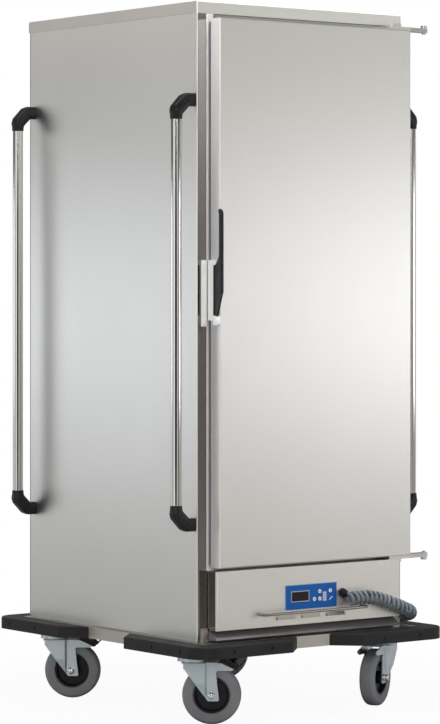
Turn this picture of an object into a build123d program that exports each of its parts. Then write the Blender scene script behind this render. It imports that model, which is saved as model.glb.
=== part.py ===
from build123d import *
import math
import os

# Heated banquet trolley. Sizes are in millimetres. While the pieces are made, x runs right from
# the cabinet's centre line, y runs back from its front plane and z runs up from the floor.
# At the end everything moves together, so that the origin is the middle of the footprint.

# Castor heights, which carry everything else
wheel_radius = 74
fork_headroom = 6
castor_head = 25
crown_bottom = 2 * wheel_radius + fork_headroom

# Cabinet
body_width = 665
body_depth = 750
body_top = 1805
roof_skirt = 30
roof_overhang = 3
roof_wall = 65
sheet = 1.5
bend_radius = 2.5
side_wall = 55
back_wall = 45
post_width = 30
post_lip = 12
flange_width = 20
liner_sheet = 1.0
frame_depth = 30
seam = 0.3
half_width = body_width / 2
cavity_half = half_width - side_wall
cavity_top = body_top - roof_wall
panel_top = body_top - roof_skirt
liner_front = frame_depth
liner_back = body_depth - back_wall

# Base compartment and chassis
chassis_height = 30
base_plate = 4
base_plate_inset = 6
rail_overhang_side = 14
rail_overhang_front = 48
rail_overhang_rear = 12
rail_width = 40
gusset_thickness = 4
lug_width = 22
lug_thickness = 4
lug_overlap = 5
skirt_height = 25
skirt_nose_inset = 8
skirt_nose_height = 2.2
skirt_nose_slant = 2
skirt_end_gap = 1
chassis_bottom = crown_bottom + castor_head
chassis_top = chassis_bottom + chassis_height
body_bottom = chassis_top + base_plate
fascia_bottom = body_bottom + skirt_height
lug_top = fascia_bottom + lug_overlap
rail_half = half_width + rail_overhang_side
rail_front = -rail_overhang_front
rail_rear = body_depth + rail_overhang_rear

# Corner bumpers
bumper_reach_side = 72
bumper_reach_front = 110
bumper_reach_rear = 70
bumper_corner = 57
bumper_gap_front = 106
bumper_front_arm_end = 272
bumper_rear_arm = 297
bumper_edge = 2.4
screw_head_radius = 4.5
screw_head_height = 2.5
screw_pocket_radius = 6
screw_pocket_depth = 4
screw_spacing = 120
screw_start_front = 45
screw_start_side = 25
bumper_half = half_width + bumper_reach_side
bumper_front = -bumper_reach_front
bumper_rear = body_depth + bumper_reach_rear
bumper_rear_arm_end = body_depth - bumper_rear_arm

# Push handles
handle_low = 485
handle_high = 1575.5
handle_tube_radius = 13.45
handle_stand_off = 51.5
handle_front = 18
handle_rear = body_depth - 19
elbow_width = 31
elbow_height = 33
elbow_foot = 18
elbow_drop = 66
elbow_corner = 9
elbow_bend = 16
elbow_slant_end = 10.8
elbow_cap_radius = 6
elbow_cap_stand = 0.8
elbow_cap_out = 4
elbow_cap_drop = 3
collar_radius = 16
collar_length = 24
tube_seat = 12

# Control panel
fascia_height = 147.5
fascia_depth = 37
fascia_bevel = 3.5
fascia_return = 12
fascia_notch_gap = 2
fascia_left = -half_width + 32
fascia_right = half_width - 31.5
fascia_front = -fascia_depth
fascia_top = fascia_bottom + fascia_height
membrane_width = 167.6
membrane_height = 63
membrane_thickness = 0.8
membrane_left = -half_width + 250
membrane_right = membrane_left + membrane_width
membrane_bottom = fascia_bottom + 38
membrane_top = membrane_bottom + membrane_height
display_left = membrane_left + 20.3
display_right = display_left + 54.9
display_bottom = membrane_bottom + 20.7
display_top = display_bottom + 24.1
display_thickness = 1.4
key_radius = 5
key_gap = 0.25
key_thickness = 1.2
key_edge = 0.3
key_rise = 0.6
key_low = membrane_bottom + 23.2
key_high = membrane_bottom + 42
key_column_set = membrane_left + 94.2
key_column_middle = membrane_left + 111.9
key_column_power = membrane_left + 146.5
louvre_width = 58
louvre_height = 8
louvre_stand = 6
louvre_pitch = 81
louvre_bottom = fascia_bottom + 16
controller_inset = 5
controller_depth = 45
guard_radius = 3.5
guard_inset = 163.5
guard_left = -half_width + guard_inset
guard_right = half_width - guard_inset
guard_height = fascia_bottom + 34
guard_stand = 28
guard_bend = 12
gland_x = membrane_right + 19.4
gland_z = membrane_bottom + 33
gland_nut_radius = 13
gland_length = 14
gland_hole_radius = 7.6
gland_dome_radius = 10.4
gland_dome_edge = 3

# Door
running_gap = 0.06
stack_gap = 0.3
door_thickness = 37.6
door_stand_off = 10
door_gap_low = 9.5
door_gap_high = 13
door_overlap = 20
door_edge_radius = 2.5
gasket_width = 12
gasket_inset = 5.25
gasket_margin = 2
gasket_lip_step = 3
gasket_lip = 5
door_left = -half_width + 35
door_right = half_width - 5.5
door_bottom = fascia_top + door_gap_low
door_top = panel_top - door_gap_high
door_back = -door_stand_off
door_front = door_back - door_thickness
cavity_floor = door_bottom + door_overlap

# Hinges
hinge_pivot_out = 71
hinge_arm_thickness = 5
hinge_arm_front = door_front + 16.6
hinge_arm_back = -1
hinge_arm_start = half_width - 65
hinge_arm_shoulder = 8
hinge_arm_heel = 20
hinge_eye_radius = 10
hinge_pin_radius = 5
hinge_pin_head_radius = 8
hinge_pin_head_height = 8
hinge_pin_end = 4
hinge_flange_height = 11
hinge_flange_thickness = 3
hinge_x = half_width + hinge_pivot_out
hinge_pivot_y = door_back - 1

# Latch
latch_bottom = 1010
latch_length = 150
latch_stand = 6.5
latch_back = -6.4
latch_front = -28
latch_edge = 1.5
latch_pin_radius = 2
latch_pin_reach = 4.5
latch_barrel_radius = 4
knuckle_height = 12
knuckle_overlap = 1
lock_edge = 5
lock_boss_radius = 7
lock_boss_inset = 11
lock_boss_stand = 2
lever_grip_depth = 13
lever_foot = 12
lever_curl = 12
lever_lip = 5
lever_lip_drop = 6
lever_throat = 22
lever_neck = 32
lever_edge = 2.5
lever_web = 4.5
lever_thickness = 8
latch_left = door_left - latch_stand
latch_top = latch_bottom + latch_length
latch_pin_x = door_left - latch_barrel_radius - stack_gap
latch_pin_y = latch_front - latch_pin_reach
knuckle_block_bottom = latch_bottom - 11
knuckle_block_top = latch_bottom + 10
knuckle_block_front = door_front - 2.4
lever_reach = door_front - 17.4
lever_top = latch_top + 127
lever_slant_top = latch_bottom + 70
strike_width = 16
strike_gap = 0.5
strike_thickness = 3
strike_edge = 1
strike_screw_radius = 3.2
strike_screw_height = 1.2
strike_screw_inset = 9
strike_screw_step_low = 24
strike_screw_step_high = 16
strike_right = latch_left - strike_gap
strike_left = strike_right - strike_width
strike_bottom = latch_bottom - 15

# Inside the cabinet
floor_wall = 55
runner_pitch = 78
runner_first = cavity_floor + 95
runner_head_room = 40
runner_count = int((cavity_top - runner_head_room - runner_first) / runner_pitch) + 1
runner_ledge = 13.5
runner_leg = 20
runner_sheet = 1.5
runner_front_y = liner_front + 30
runner_rear_y = liner_back - 15
upright_depth = 10
upright_width = 20
upright_front_y = liner_front + 110
upright_rear_y = liner_back - 115
well_half = 130
well_length = 300
well_depth = 50
well_back = liner_back - 145
well_front = well_back - well_length
well_flange = 12
impeller_radius = 70
impeller_height = 30
impeller_blades = 12
motor_radius = 40
motor_height = 60
shaft_radius = 4
shaft_hole_gap = 2
shaft_end = 2
impeller_lift = 8
impeller_disc = 2
impeller_hub_wall = 6
impeller_hub_height = 18
blade_length = 25.6
blade_inset = 1
blade_thickness = 1.6
element_radius = impeller_radius + 35
element_tube = 4
element_gap_angle = 24
grille_slots = 9
grille_slot_width = 8
grille_rib = 12
tray_half = 190
tray_gap = 23
tray_front = liner_front + 15
tray_back = well_front - well_flange - tray_gap
tray_height = 40
tray_wall = 1.5
tray_corner = 8

# Castors
castor_inboard = 22
castor_front_y = 50
castor_rear_y = body_depth - 86
castor_trail = 49
tread_width = 37
rim_radius = 46
rim_width = 32
hub_radius = 16
axle_radius = 5
axle_fit = 0.1
axle_end = 10
axle_washer_radius = 10.5
axle_washer = 1.6
axle_nut_radius = 8
axle_nut_height = 6
rim_web = 12
rim_lip = 5
rim_slope = 3
hub_draft = 1
tyre_side_step = 3
tyre_shoulder = 7
tyre_shoulder_rise = 5
tyre_shoulder_in = 4
tread_crown = 0.4
tread_flat = 8
tread_slope = 16
wheel_side_gap = 4.5
fork_leg_inner = tread_width / 2 + wheel_side_gap
fork_leg_thickness = 3.5
crown_thickness = 4
crown_back = -26
crown_front = 66
crown_edge = 3
fork_foot_below = 14
fork_foot_back = 11
fork_foot_front = 19
fork_foot_edge = 3
fork_heel_drop = 4
fork_waist = 11
fork_waist_drop = 22
fork_arm_start = 15
fork_arm_drop = 18
fork_arm_bend = 50
fork_arm_reach = 63
fork_arm_tip_drop = 11
fork_arm_tip_depth = 4
fork_arm_tip_draft = 2
fork_arm_shoulder = 12
fork_arm_rise = 1
fork_fold_front = castor_trail - 11.5
fork_fold_back = castor_trail - 16
fork_fold_inset = 2.2
fork_flare_drop = 49
fork_nose = 5
race_radius = 36
race_gap = 0.3
race_height = 10
race_lip = 1
castor_plate_thickness = 4
castor_plate_x = 84
castor_plate_y = 105
castor_bolt_x = 60
castor_bolt_y = 80
castor_bolt_radius = 4
castor_bolt_head_radius = 7.2
castor_bolt_head = 5
castor_bolt_stand = 6
castor_plate_corner = 8
king_pin_radius = 6
king_nut_height = 6
king_nut_wall = 4
pedal_pivot_s = castor_trail + 39
pedal_pivot_z = crown_bottom - 2
pedal_pin_radius = 3
pedal_tip = pedal_pivot_s + 47
pedal_strip = 3.5
pedal_heel = 9
pedal_heel_rise = 12
pedal_heel_edge = 2
pedal_heel_top = 3
pedal_dip_out = 24
pedal_dip_drop = 10
pedal_tip_rise = 12
pedal_tip_edge = 2
pedal_fold = 1
pedal_lug_back = 8
pedal_lug_front = 6
pedal_lug_low = 7
pedal_lug_nose = 14
pedal_lug_nose_drop = 3
pedal_pin_end = 1
castor_headings = {
    "front_left": -39.5,
    "rear_left": -44.0,
    "front_right": 209.3,
    "rear_right": 142.8,
}

# Curly mains cord
wire_radius = 4.25
curl_radius = 14.25
curl_pitch = 15.5
cord_lead_in = 8.5
plug_radius = 18.5
plug_length = 30
plug_relief = 22
plug_pin_radius = 2.4
plug_pin_length = 19
plug_pin_spacing = 19
plug_neck_radius = 11.1
plug_neck_wall = 1.5
plug_edge = 5
plug_run = 44
lane_gap = 22.5
lying_gap = 0.4

centre_x = (hinge_x + hinge_eye_radius - bumper_half) / 2
centre_y = (bumper_front + bumper_rear) / 2


def block(x, y, z):
    """A box given by three (low, high) pairs."""
    size = [high - low for low, high in (x, y, z)]
    return Pos(x[0], y[0], z[0]) * Box(*size, align=(Align.MIN, Align.MIN, Align.MIN))


def post(radius, x, y, z):
    """An upright round bar between two heights."""
    bar = Cylinder(radius, z[1] - z[0], align=(Align.CENTER, Align.CENTER, Align.MIN))
    return Pos(x, y, z[0]) * bar


def cross_bar(radius, x, y, z):
    """A round bar along x between two places."""
    bar = Cylinder(radius, x[1] - x[0], align=(Align.CENTER, Align.CENTER, Align.MIN))
    return Pos(x[0], y, z) * Rot(0, 90, 0) * bar


def depth_bar(radius, x, y, z):
    """A round bar along y between two places."""
    bar = Cylinder(radius, y[1] - y[0], align=(Align.CENTER, Align.CENTER, Align.MIN))
    return Pos(x, y[0], z) * Rot(-90, 0, 0) * bar


def folded_section(points, thickness, radius):
    """The section of a folded sheet. The points are its outer line, with the metal on its left."""
    outer = [Vector(*point) for point in points]
    steps = [(b - a).normalized() for a, b in zip(outer, outer[1:])]
    normals = [Vector(-step.Y, step.X) for step in steps]
    inner = [outer[0] + normals[0] * thickness]
    for corner, before, after in zip(outer[1:-1], normals, normals[1:]):
        inner.append(corner + (before + after) * (thickness / (1 + before.dot(after))))
    inner.append(outer[-1] + normals[-1] * thickness)
    turns = [a.X * b.Y - a.Y * b.X for a, b in zip(steps, steps[1:])]
    outside = [radius if turn > 0 else radius - thickness for turn in turns]
    inside = [radius - thickness if turn > 0 else radius for turn in turns]
    outline = FilletPolyline(*outer, radius=outside) + FilletPolyline(*inner, radius=inside)
    outline += Line(outer[0], inner[0]) + Line(outer[-1], inner[-1])
    return make_face(outline)


def upright_sheet(points, low, high):
    """A folded sheet whose section is in plan."""
    return extrude(Pos(0, 0, low) * folded_section(points, sheet, bend_radius), amount=high - low)


def cross_sheet(points, left, right):
    """A folded sheet whose section is given as (y, z) points, running along x."""
    profile = Plane.YZ * folded_section(points, sheet, bend_radius)
    return Pos(left, 0, 0) * extrude(profile, amount=right - left)


def side_profile(points, left, right):
    """A solid whose outline is given as (y, z) points, running along x."""
    outline = Plane.YZ * make_face(Polyline(*points, close=True))
    return Pos(left, 0, 0) * extrude(outline, amount=right - left)


def left_and_right(piece):
    return piece, mirror(piece, about=Plane.YZ)


def side_panel():
    rear = body_depth - sheet
    inner_edge = -half_width + post_width
    outline = [
        (-half_width + flange_width, rear),
        (-half_width, rear),
        (-half_width, 0),
        (inner_edge, 0),
        (inner_edge, post_lip),
    ]
    panel = upright_sheet(outline, body_bottom, panel_top)
    foot = block((-half_width + sheet, inner_edge - sheet), (sheet * 2, rear - sheet * 2),
                 (body_bottom, body_bottom + sheet))
    return panel + foot


def back_panel():
    return block((-half_width, half_width), (body_depth - sheet, body_depth),
                 (body_bottom, panel_top))


def roof_cap():
    cap = block((-half_width, half_width), (0, body_depth + roof_overhang), (panel_top, body_top))
    edges = cap.edges().filter_by(Axis.Z) + cap.faces().sort_by(Axis.Z)[-1].edges()
    cap = fillet(edges, bend_radius)
    return cap - block((-half_width + sheet, half_width - sheet),
                       (sheet, body_depth + roof_overhang - sheet),
                       (panel_top, body_top - sheet))


def door_frame():
    """Two stiles, a header and a sill of folded channel round the mouth of the cavity."""
    outer = half_width - post_width - seam
    stile = upright_sheet([(-outer, frame_depth), (-outer, 0), (-cavity_half, 0),
                           (-cavity_half, frame_depth)], fascia_top + seam, panel_top - seam)
    header = cross_sheet([(frame_depth, panel_top - seam), (0, panel_top - seam),
                          (0, cavity_top), (frame_depth, cavity_top)], -cavity_half, cavity_half)
    sill = cross_sheet([(frame_depth, cavity_floor), (0, cavity_floor), (0, fascia_top + seam),
                        (frame_depth, fascia_top + seam)], -cavity_half, cavity_half)
    return [*left_and_right(stile), header, sill]


def inner_liner():
    outer = cavity_half + liner_sheet
    shell = block((-outer, outer), (liner_front, liner_back + liner_sheet),
                  (cavity_floor - liner_sheet, cavity_top + liner_sheet))
    shell -= block((-cavity_half, cavity_half), (liner_front, liner_back),
                   (cavity_floor, cavity_top))
    return shell - block((-well_half, well_half), (well_front, well_back),
                         (cavity_floor - liner_sheet, cavity_floor))


def insulation():
    """Foam slabs between the outer sheets and the liner, and four floor blocks round the well."""
    inside = half_width - sheet
    liner_out = cavity_half + liner_sheet
    rear_skin = body_depth - sheet * 2
    low = cavity_floor - floor_wall
    high = cavity_top + liner_sheet
    floor_high = cavity_floor - liner_sheet
    behind = liner_back + liner_sheet
    left = block((-inside, -liner_out), (liner_front, behind), (low, high))
    clear = inside - (bend_radius - sheet)
    back = block((-clear, clear), (behind, rear_skin), (low, high))
    top = block((-clear, clear), (liner_front, rear_skin), (high, body_top - sheet))
    floor_front = block((-liner_out, liner_out), (liner_front, well_front), (low, floor_high))
    floor_rear = block((-liner_out, liner_out), (well_back, behind), (low, floor_high))
    floor_left = block((-liner_out, -well_half), (well_front, well_back), (low, floor_high))
    return [*left_and_right(left), back, top, floor_front, floor_rear, *left_and_right(floor_left)]


def rack():
    """The left rack: two uprights on the liner and a ledge for every pan level."""
    face = -cavity_half + upright_depth
    pieces = []
    for y in (upright_front_y, upright_rear_y):
        pieces.append(block((-cavity_half, face), (y - upright_width / 2, y + upright_width / 2),
                            (cavity_floor, runner_first + (runner_count - 1) * runner_pitch)))
    for level in range(runner_count):
        z = runner_first + level * runner_pitch
        ledge = block((face, face + runner_ledge), (runner_front_y, runner_rear_y),
                      (z - runner_sheet, z))
        leg = block((face, face + runner_sheet), (runner_front_y, runner_rear_y),
                    (z - runner_leg, z))
        pieces.append(ledge + leg)
    return pieces


def base_pan():
    side = half_width - base_plate_inset
    front = base_plate_inset
    rear = body_depth - base_plate_inset
    pan = block((-side, side), (front, rear), (chassis_top, body_bottom))
    lip_half = half_width - post_width - sheet
    pan += block((-lip_half, lip_half), (front, front + sheet), (body_bottom, fascia_bottom))
    return pan + block((-lip_half, lip_half), (rear - sheet, rear), (body_bottom, fascia_bottom))


def chassis_frame():
    """A welded tube frame with a gusset for each castor and two lugs that hold the posts."""
    inner = rail_half - rail_width
    opening_front = rail_front + rail_width
    opening_rear = rail_rear - rail_width
    frame = block((-rail_half, rail_half), (rail_front, rail_rear), (chassis_bottom, chassis_top))
    frame -= block((-inner, inner), (opening_front, opening_rear), (chassis_bottom, chassis_top))
    reach = half_width - castor_inboard - castor_plate_x / 2
    margin = castor_plate_y / 2 + gusset_thickness
    for near, far in ((opening_front, castor_front_y + margin),
                      (castor_rear_y - margin, opening_rear)):
        gusset = block((-inner, -reach), (near, far),
                       (chassis_bottom, chassis_bottom + gusset_thickness))
        for piece in left_and_right(gusset):
            frame += piece
    lug = block((-half_width + post_width - lug_width, -half_width + post_width),
                (-lug_thickness, 0), (chassis_top, lug_top))
    for piece in left_and_right(lug):
        frame += piece
    for hole in castor_bolt_places():
        frame -= post(castor_bolt_radius + seam, hole[0], hole[1], (chassis_bottom, chassis_top))
    return frame


def skirt_plate():
    """The sloped plate under the control panel, closed at both ends."""
    tail = base_plate_inset
    foot = body_bottom + seam
    nose = rail_front + skirt_nose_inset
    head = fascia_bottom - seam
    outline = [(tail, head), (0, head), (nose, foot + skirt_nose_height), (nose + skirt_nose_slant, foot),
               (tail, foot)]
    return side_profile(outline, fascia_left + skirt_end_gap, fascia_right - skirt_end_gap)


def bumper(front):
    """The left front or left rear corner bumper, with chamfered arm ends."""
    face = rail_front if front else rail_rear
    edge = bumper_front if front else bumper_rear
    arm_end = bumper_front_arm_end if front else bumper_rear_arm_end
    side = -1 if front else 1
    depth_x = bumper_half - rail_half
    depth_y = abs(edge - face)
    tip = -bumper_gap_front / 2
    outline = [
        (tip, face),
        (tip - depth_y, edge),
        (-bumper_half, edge),
        (-bumper_half, arm_end + side * depth_x),
        (-rail_half, arm_end),
        (-rail_half, face),
    ]
    plan = make_face(Polyline(*outline, close=True))
    corner = plan.vertices().sort_by_distance((-bumper_half, edge))[0]
    plan = fillet(corner, bumper_corner)
    body = extrude(Pos(0, 0, chassis_bottom) * plan, amount=chassis_top - chassis_bottom)
    body = chamfer(body.faces().sort_by(Axis.Z)[-1].edges(), bumper_edge)
    for x, y, along_x in bumper_screw_places(front):
        body -= screw_shape(x, y, along_x, screw_pocket_radius, screw_pocket_depth, 0)
    return body


def bumper_screw_places(front):
    """Two screws on each arm's outer face, and whether they point along x."""
    edge = bumper_front if front else bumper_rear
    arm_end = bumper_front_arm_end if front else bumper_rear_arm_end
    side = 1 if front else -1
    places = []
    for index in (0, 1):
        step = bumper_corner + screw_start_front + index * screw_spacing
        places.append((-bumper_half + step, edge, False))
    for index in (0, 1):
        step = bumper_corner + screw_start_side + index * screw_spacing
        places.append((-bumper_half, edge + side * step, True))
    return places


def screw_shape(x, y, along_x, radius, depth, raised):
    """A short round bar sunk into a bumper's outer face at its middle height."""
    z = (chassis_bottom + chassis_top) / 2
    if along_x:
        return cross_bar(radius, (x - raised, x + depth), y, z)
    if y < 0:
        return depth_bar(radius, x, (y - raised, y + depth), z)
    return depth_bar(radius, x, (y - depth, y + raised), z)


def bumper_screws():
    pieces = []
    for front in (True, False):
        for x, y, along_x in bumper_screw_places(front):
            shift = screw_pocket_depth - screw_head_height
            x_in = x + shift if along_x else x
            y_in = y if along_x else y + math.copysign(shift, -y if front else -1)
            screw = screw_shape(x_in, y_in, along_x, screw_head_radius, screw_head_height, 0)
            pieces += left_and_right(screw)
    return pieces


def handle_elbow():
    """The top elbow of a handle: out from the wall, down at an angle and into a collar."""
    wall = half_width
    axis_top = handle_high - elbow_height / 2
    axis = wall + handle_stand_off
    low = handle_high - elbow_drop
    collar_top = low + collar_length
    path = FilletPolyline((wall, 0, axis_top), (wall + elbow_foot, 0, axis_top),
                          (axis, 0, collar_top + elbow_slant_end),
                          (axis, 0, low + collar_length / 2), radius=elbow_bend)
    section = RectangleRounded(elbow_width, elbow_height, elbow_corner)
    start = Plane(origin=(wall, 0, axis_top), x_dir=(0, 1, 0), z_dir=(1, 0, 0))
    body = sweep(start * section, path=path)
    collar = post(collar_radius, axis, 0, (low, collar_top))
    cap = depth_bar(elbow_cap_radius, wall + elbow_foot + elbow_cap_out,
                    (-elbow_width / 2 - elbow_cap_stand, 0), axis_top - elbow_cap_drop)
    elbow = body + collar + cap
    return elbow - post(handle_tube_radius + seam, axis, 0, (low, low + tube_seat))


def handle_places():
    return [handle_front, handle_rear]


def handle_elbows():
    top = handle_elbow()
    middle = Plane(origin=(0, 0, (handle_low + handle_high) / 2), z_dir=(0, 0, 1))
    bottom = mirror(top, about=middle)
    pieces = []
    for y in handle_places():
        for elbow in (top, bottom):
            pieces += left_and_right(Pos(0, y, 0) * elbow)
    return pieces


def handle_tubes():
    axis = half_width + handle_stand_off
    low = handle_low + elbow_drop - tube_seat + seam
    high = handle_high - elbow_drop + tube_seat - seam
    pieces = []
    for y in handle_places():
        tube = post(handle_tube_radius, axis, y, (low, high))
        pieces += left_and_right(tube)
    return pieces


def door_skin():
    skin = block((door_left, door_right), (door_front, door_back), (door_bottom, door_top))
    front = skin.faces().sort_by(Axis.Y)[0]
    skin = fillet(front.edges(), door_edge_radius)
    return skin - block((door_left + sheet, door_right - sheet), (door_front + sheet, door_back),
                        (door_bottom + sheet, door_top - sheet))


def door_inner_pan():
    return block((door_left + sheet, door_right - sheet), (door_back - sheet, door_back),
                 (door_bottom + sheet, door_top - sheet))


def door_foam():
    return block((door_left + sheet, door_right - sheet), (door_front + sheet, door_back - sheet),
                 (door_bottom + sheet, door_top - sheet))


def door_gasket():
    """A hollow-lipped seal ring that closes on the face of the door frame."""
    outer = half_width - post_width - gasket_inset
    low = cavity_floor - gasket_width - gasket_margin
    high = cavity_top + gasket_width + gasket_margin
    thick = abs(door_back) - seam

    def ring(grow, y):
        outline = block((-outer + grow, outer - grow), y, (low + grow, high - grow))
        inside = outer - gasket_width
        window = block((-inside - grow, inside + grow), y,
                       (low + gasket_width - grow, high - gasket_width + grow))
        return outline - window

    base = ring(0, (door_back, door_back + thick - gasket_lip))
    lip = ring(gasket_lip_step, (door_back + thick - gasket_lip, door_back + thick))
    return base + lip


def hinge_arm_plan(rear):
    """A plate in plan, from the door's end to a round eye at the hinge pin."""
    eye = Pos(hinge_x, hinge_pivot_y) * Circle(hinge_eye_radius)
    outline = [
        (hinge_arm_start, hinge_arm_front),
        (half_width + hinge_arm_shoulder, hinge_arm_front),
        (hinge_x + hinge_eye_radius * 0.4, hinge_pivot_y - hinge_eye_radius * 0.9),
        (hinge_x, hinge_pivot_y + hinge_eye_radius),
        (half_width + hinge_arm_heel, hinge_arm_back),
        (hinge_arm_start, hinge_arm_back),
    ]
    plan = make_face(Polyline(*outline, close=True)) + eye
    if rear > hinge_arm_back:
        foot = Rectangle(half_width - hinge_arm_start, rear - hinge_arm_back, align=(Align.MIN, Align.MIN))
        plan += Pos(hinge_arm_start, hinge_arm_back) * foot
    return plan


def hinge_arms():
    """The door's two hinge arms, on its top and bottom edges."""
    plan = hinge_arm_plan(hinge_arm_back) - Pos(hinge_x, hinge_pivot_y) * Circle(
        hinge_pin_radius + running_gap)
    arm = extrude(plan, amount=hinge_arm_thickness)
    return [Pos(0, 0, door_top) * arm, Pos(0, 0, door_bottom - hinge_arm_thickness) * arm]


def hinge_brackets():
    """The cabinet's two hinge plates, each with a flange, a pin and the pin's head."""
    plate = extrude(hinge_arm_plan(0), amount=hinge_arm_thickness)
    flange_left = half_width - post_width + seam
    flange = block((flange_left, half_width), (-hinge_flange_thickness, 0),
                   (hinge_arm_thickness, hinge_arm_thickness + hinge_flange_height))
    head = post(hinge_pin_head_radius, hinge_x, hinge_pivot_y,
                (hinge_arm_thickness, hinge_arm_thickness + hinge_pin_head_height))
    pin = post(hinge_pin_radius, hinge_x, hinge_pivot_y,
               (-hinge_arm_thickness - stack_gap - hinge_pin_end, hinge_arm_thickness))
    bracket = plate + flange + head + pin
    top = Pos(0, 0, door_top + hinge_arm_thickness + stack_gap) * bracket
    upside_down = mirror(bracket, about=Plane.XY)
    bottom = Pos(0, 0, door_bottom - hinge_arm_thickness - stack_gap) * upside_down
    return [top, bottom]


def latch_case():
    """The chrome latch body on the door's free edge, with the pin that carries the lever."""
    body = block((latch_left, door_left), (latch_front, latch_back), (latch_bottom, latch_top))
    case = fillet(body.edges().filter_by(Axis.Z), latch_edge)
    for low, high in ((latch_bottom, latch_bottom + knuckle_height),
                      (latch_top - knuckle_height, latch_top)):
        case += post(latch_barrel_radius, latch_pin_x, latch_pin_y, (low, high))
        case += block((latch_left, door_left), (latch_pin_y, latch_front + knuckle_overlap), (low, high))
    case += post(latch_pin_radius, latch_pin_x, latch_pin_y, (latch_bottom, latch_top))
    lock = block((latch_left, door_left), (knuckle_block_front, latch_front + knuckle_overlap),
                 (knuckle_block_bottom, knuckle_block_top))
    lock = fillet(lock.edges().filter_by(Axis.X), lock_edge)
    lock += cross_bar(lock_boss_radius, (latch_left - lock_boss_stand, latch_left + knuckle_overlap),
                      knuckle_block_front + lock_boss_inset, (knuckle_block_bottom + knuckle_block_top) / 2)
    return case + lock


def latch_lever():
    """The black lever: a tall grip with a curled tip, a web and a barrel round the pin."""
    low = latch_bottom + knuckle_height + stack_gap
    high = latch_top - knuckle_height - stack_gap
    back = lever_reach + lever_grip_depth
    tip = lever_top - lever_curl
    bend = lever_curl * (1 - math.sqrt(0.5))
    lip = (lever_reach + lever_curl + lever_lip, lever_top - lever_lip_drop)
    throat = (back, lever_top - lever_throat)
    neck = (back, high + lever_neck)
    line = Polyline((latch_pin_y, low), (latch_pin_y - lever_foot, low), (lever_reach, lever_slant_top),
                    (lever_reach, tip))
    line += ThreePointArc((lever_reach, tip), (lever_reach + bend, lever_top - bend),
                          (lever_reach + lever_curl, lever_top))
    line += Line((lever_reach + lever_curl, lever_top), lip)
    line += ThreePointArc(lip, (back, (lip[1] + throat[1]) / 2 + knuckle_overlap), throat)
    line += Line(throat, neck)
    shoulder = (latch_pin_y - latch_barrel_radius - stack_gap, high)
    line += ThreePointArc(neck, (back + lever_lip, high + lever_grip_depth), shoulder)
    line += Polyline(shoulder, (latch_pin_y, high), (latch_pin_y, low))
    outline = Plane.YZ * make_face(line)
    web = Pos(latch_pin_x - lever_web / 2, 0, 0) * extrude(outline, amount=lever_web)
    grip = block((latch_pin_x - lever_thickness / 2, latch_pin_x + lever_thickness / 2),
                 (lever_reach, back), (lever_slant_top, tip))
    grip = fillet(grip.edges().filter_by(Axis.Z), lever_edge)
    barrel = post(latch_barrel_radius, latch_pin_x, latch_pin_y, (low, high))
    return web + grip + barrel - post(latch_pin_radius + running_gap, latch_pin_x, latch_pin_y, (low, high))


def latch_strike():
    """The strike plate on the left post, with four screw heads."""
    plate = block((strike_left, strike_right), (-strike_thickness, 0), (strike_bottom, latch_top))
    plate = fillet(plate.faces().sort_by(Axis.Y)[0].edges().filter_by(Axis.Z), strike_edge)
    x = (strike_left + strike_right) / 2
    lowest = strike_bottom + strike_screw_inset
    highest = latch_top - strike_screw_inset
    for z in (lowest, lowest + strike_screw_step_low, highest - strike_screw_step_high, highest):
        plate += depth_bar(strike_screw_radius, x,
                           (-strike_thickness - strike_screw_height, -strike_thickness), z)
    return plate


def control_fascia():
    """The folded cover of the base compartment, with its louvres and cut-outs."""
    cover = block((fascia_left, fascia_right), (fascia_front, fascia_return),
                  (fascia_bottom, fascia_top))
    corners = cover.edges().filter_by(Axis.Z).group_by(Axis.Y)[0]
    cover = chamfer(corners, fascia_bevel)
    cover -= block((fascia_left + sheet, fascia_right - sheet),
                   (fascia_front + sheet, fascia_return), (fascia_bottom + sheet, fascia_top - sheet))
    notch_low = door_bottom - 2 * hinge_arm_thickness - 2 * stack_gap
    cover -= block((hinge_arm_start - fascia_notch_gap, fascia_right), (fascia_front, fascia_return),
                   (notch_low, fascia_top))
    middle = (fascia_left + fascia_right) / 2
    for step in (-1, 0, 1):
        x = middle + step * louvre_pitch
        span = (x - louvre_width / 2, x + louvre_width / 2)
        cover -= block(span, (fascia_front, fascia_front + sheet),
                       (louvre_bottom, louvre_bottom + louvre_height - sheet))
        tip = fascia_front - louvre_stand
        high = louvre_bottom + louvre_height
        cover += side_profile([(fascia_front + sheet, high), (fascia_front, high + sheet),
                               (tip, louvre_bottom), (tip + sheet, louvre_bottom),
                               (fascia_front + sheet, high - sheet)], *span)
    return cover - depth_bar(gland_hole_radius, gland_x, (fascia_front, fascia_front + sheet), gland_z)


def key_places():
    return {
        "key_set": (key_column_set, key_low),
        "key_down": (key_column_middle, key_low),
        "key_up": (key_column_middle, key_high),
        "key_power": (key_column_power, key_high),
    }


def control_membrane():
    face = (fascia_front - membrane_thickness, fascia_front)
    film = block((membrane_left, membrane_right), face, (membrane_bottom, membrane_top))
    film -= block((display_left, display_right), face, (display_bottom, display_top))
    for x, z in key_places().values():
        film -= depth_bar(key_radius + key_gap, x, face, z)
    return film


def display_window():
    return block((display_left + key_gap, display_right - key_gap),
                 (fascia_front - display_thickness, fascia_front),
                 (display_bottom + key_gap, display_top - key_gap))


def panel_key(x, z):
    """A round key that stands just off the panel and travels towards it."""
    back = fascia_front - key_rise
    key = depth_bar(key_radius, x, (back - key_thickness, back), z)
    return chamfer(key.faces().sort_by(Axis.Y)[0].edges(), key_edge)


def controller_box():
    inside = fascia_front + sheet
    return block((membrane_left + controller_inset, membrane_right - controller_inset),
                 (inside, inside + controller_depth), (membrane_bottom, membrane_top))


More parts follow.
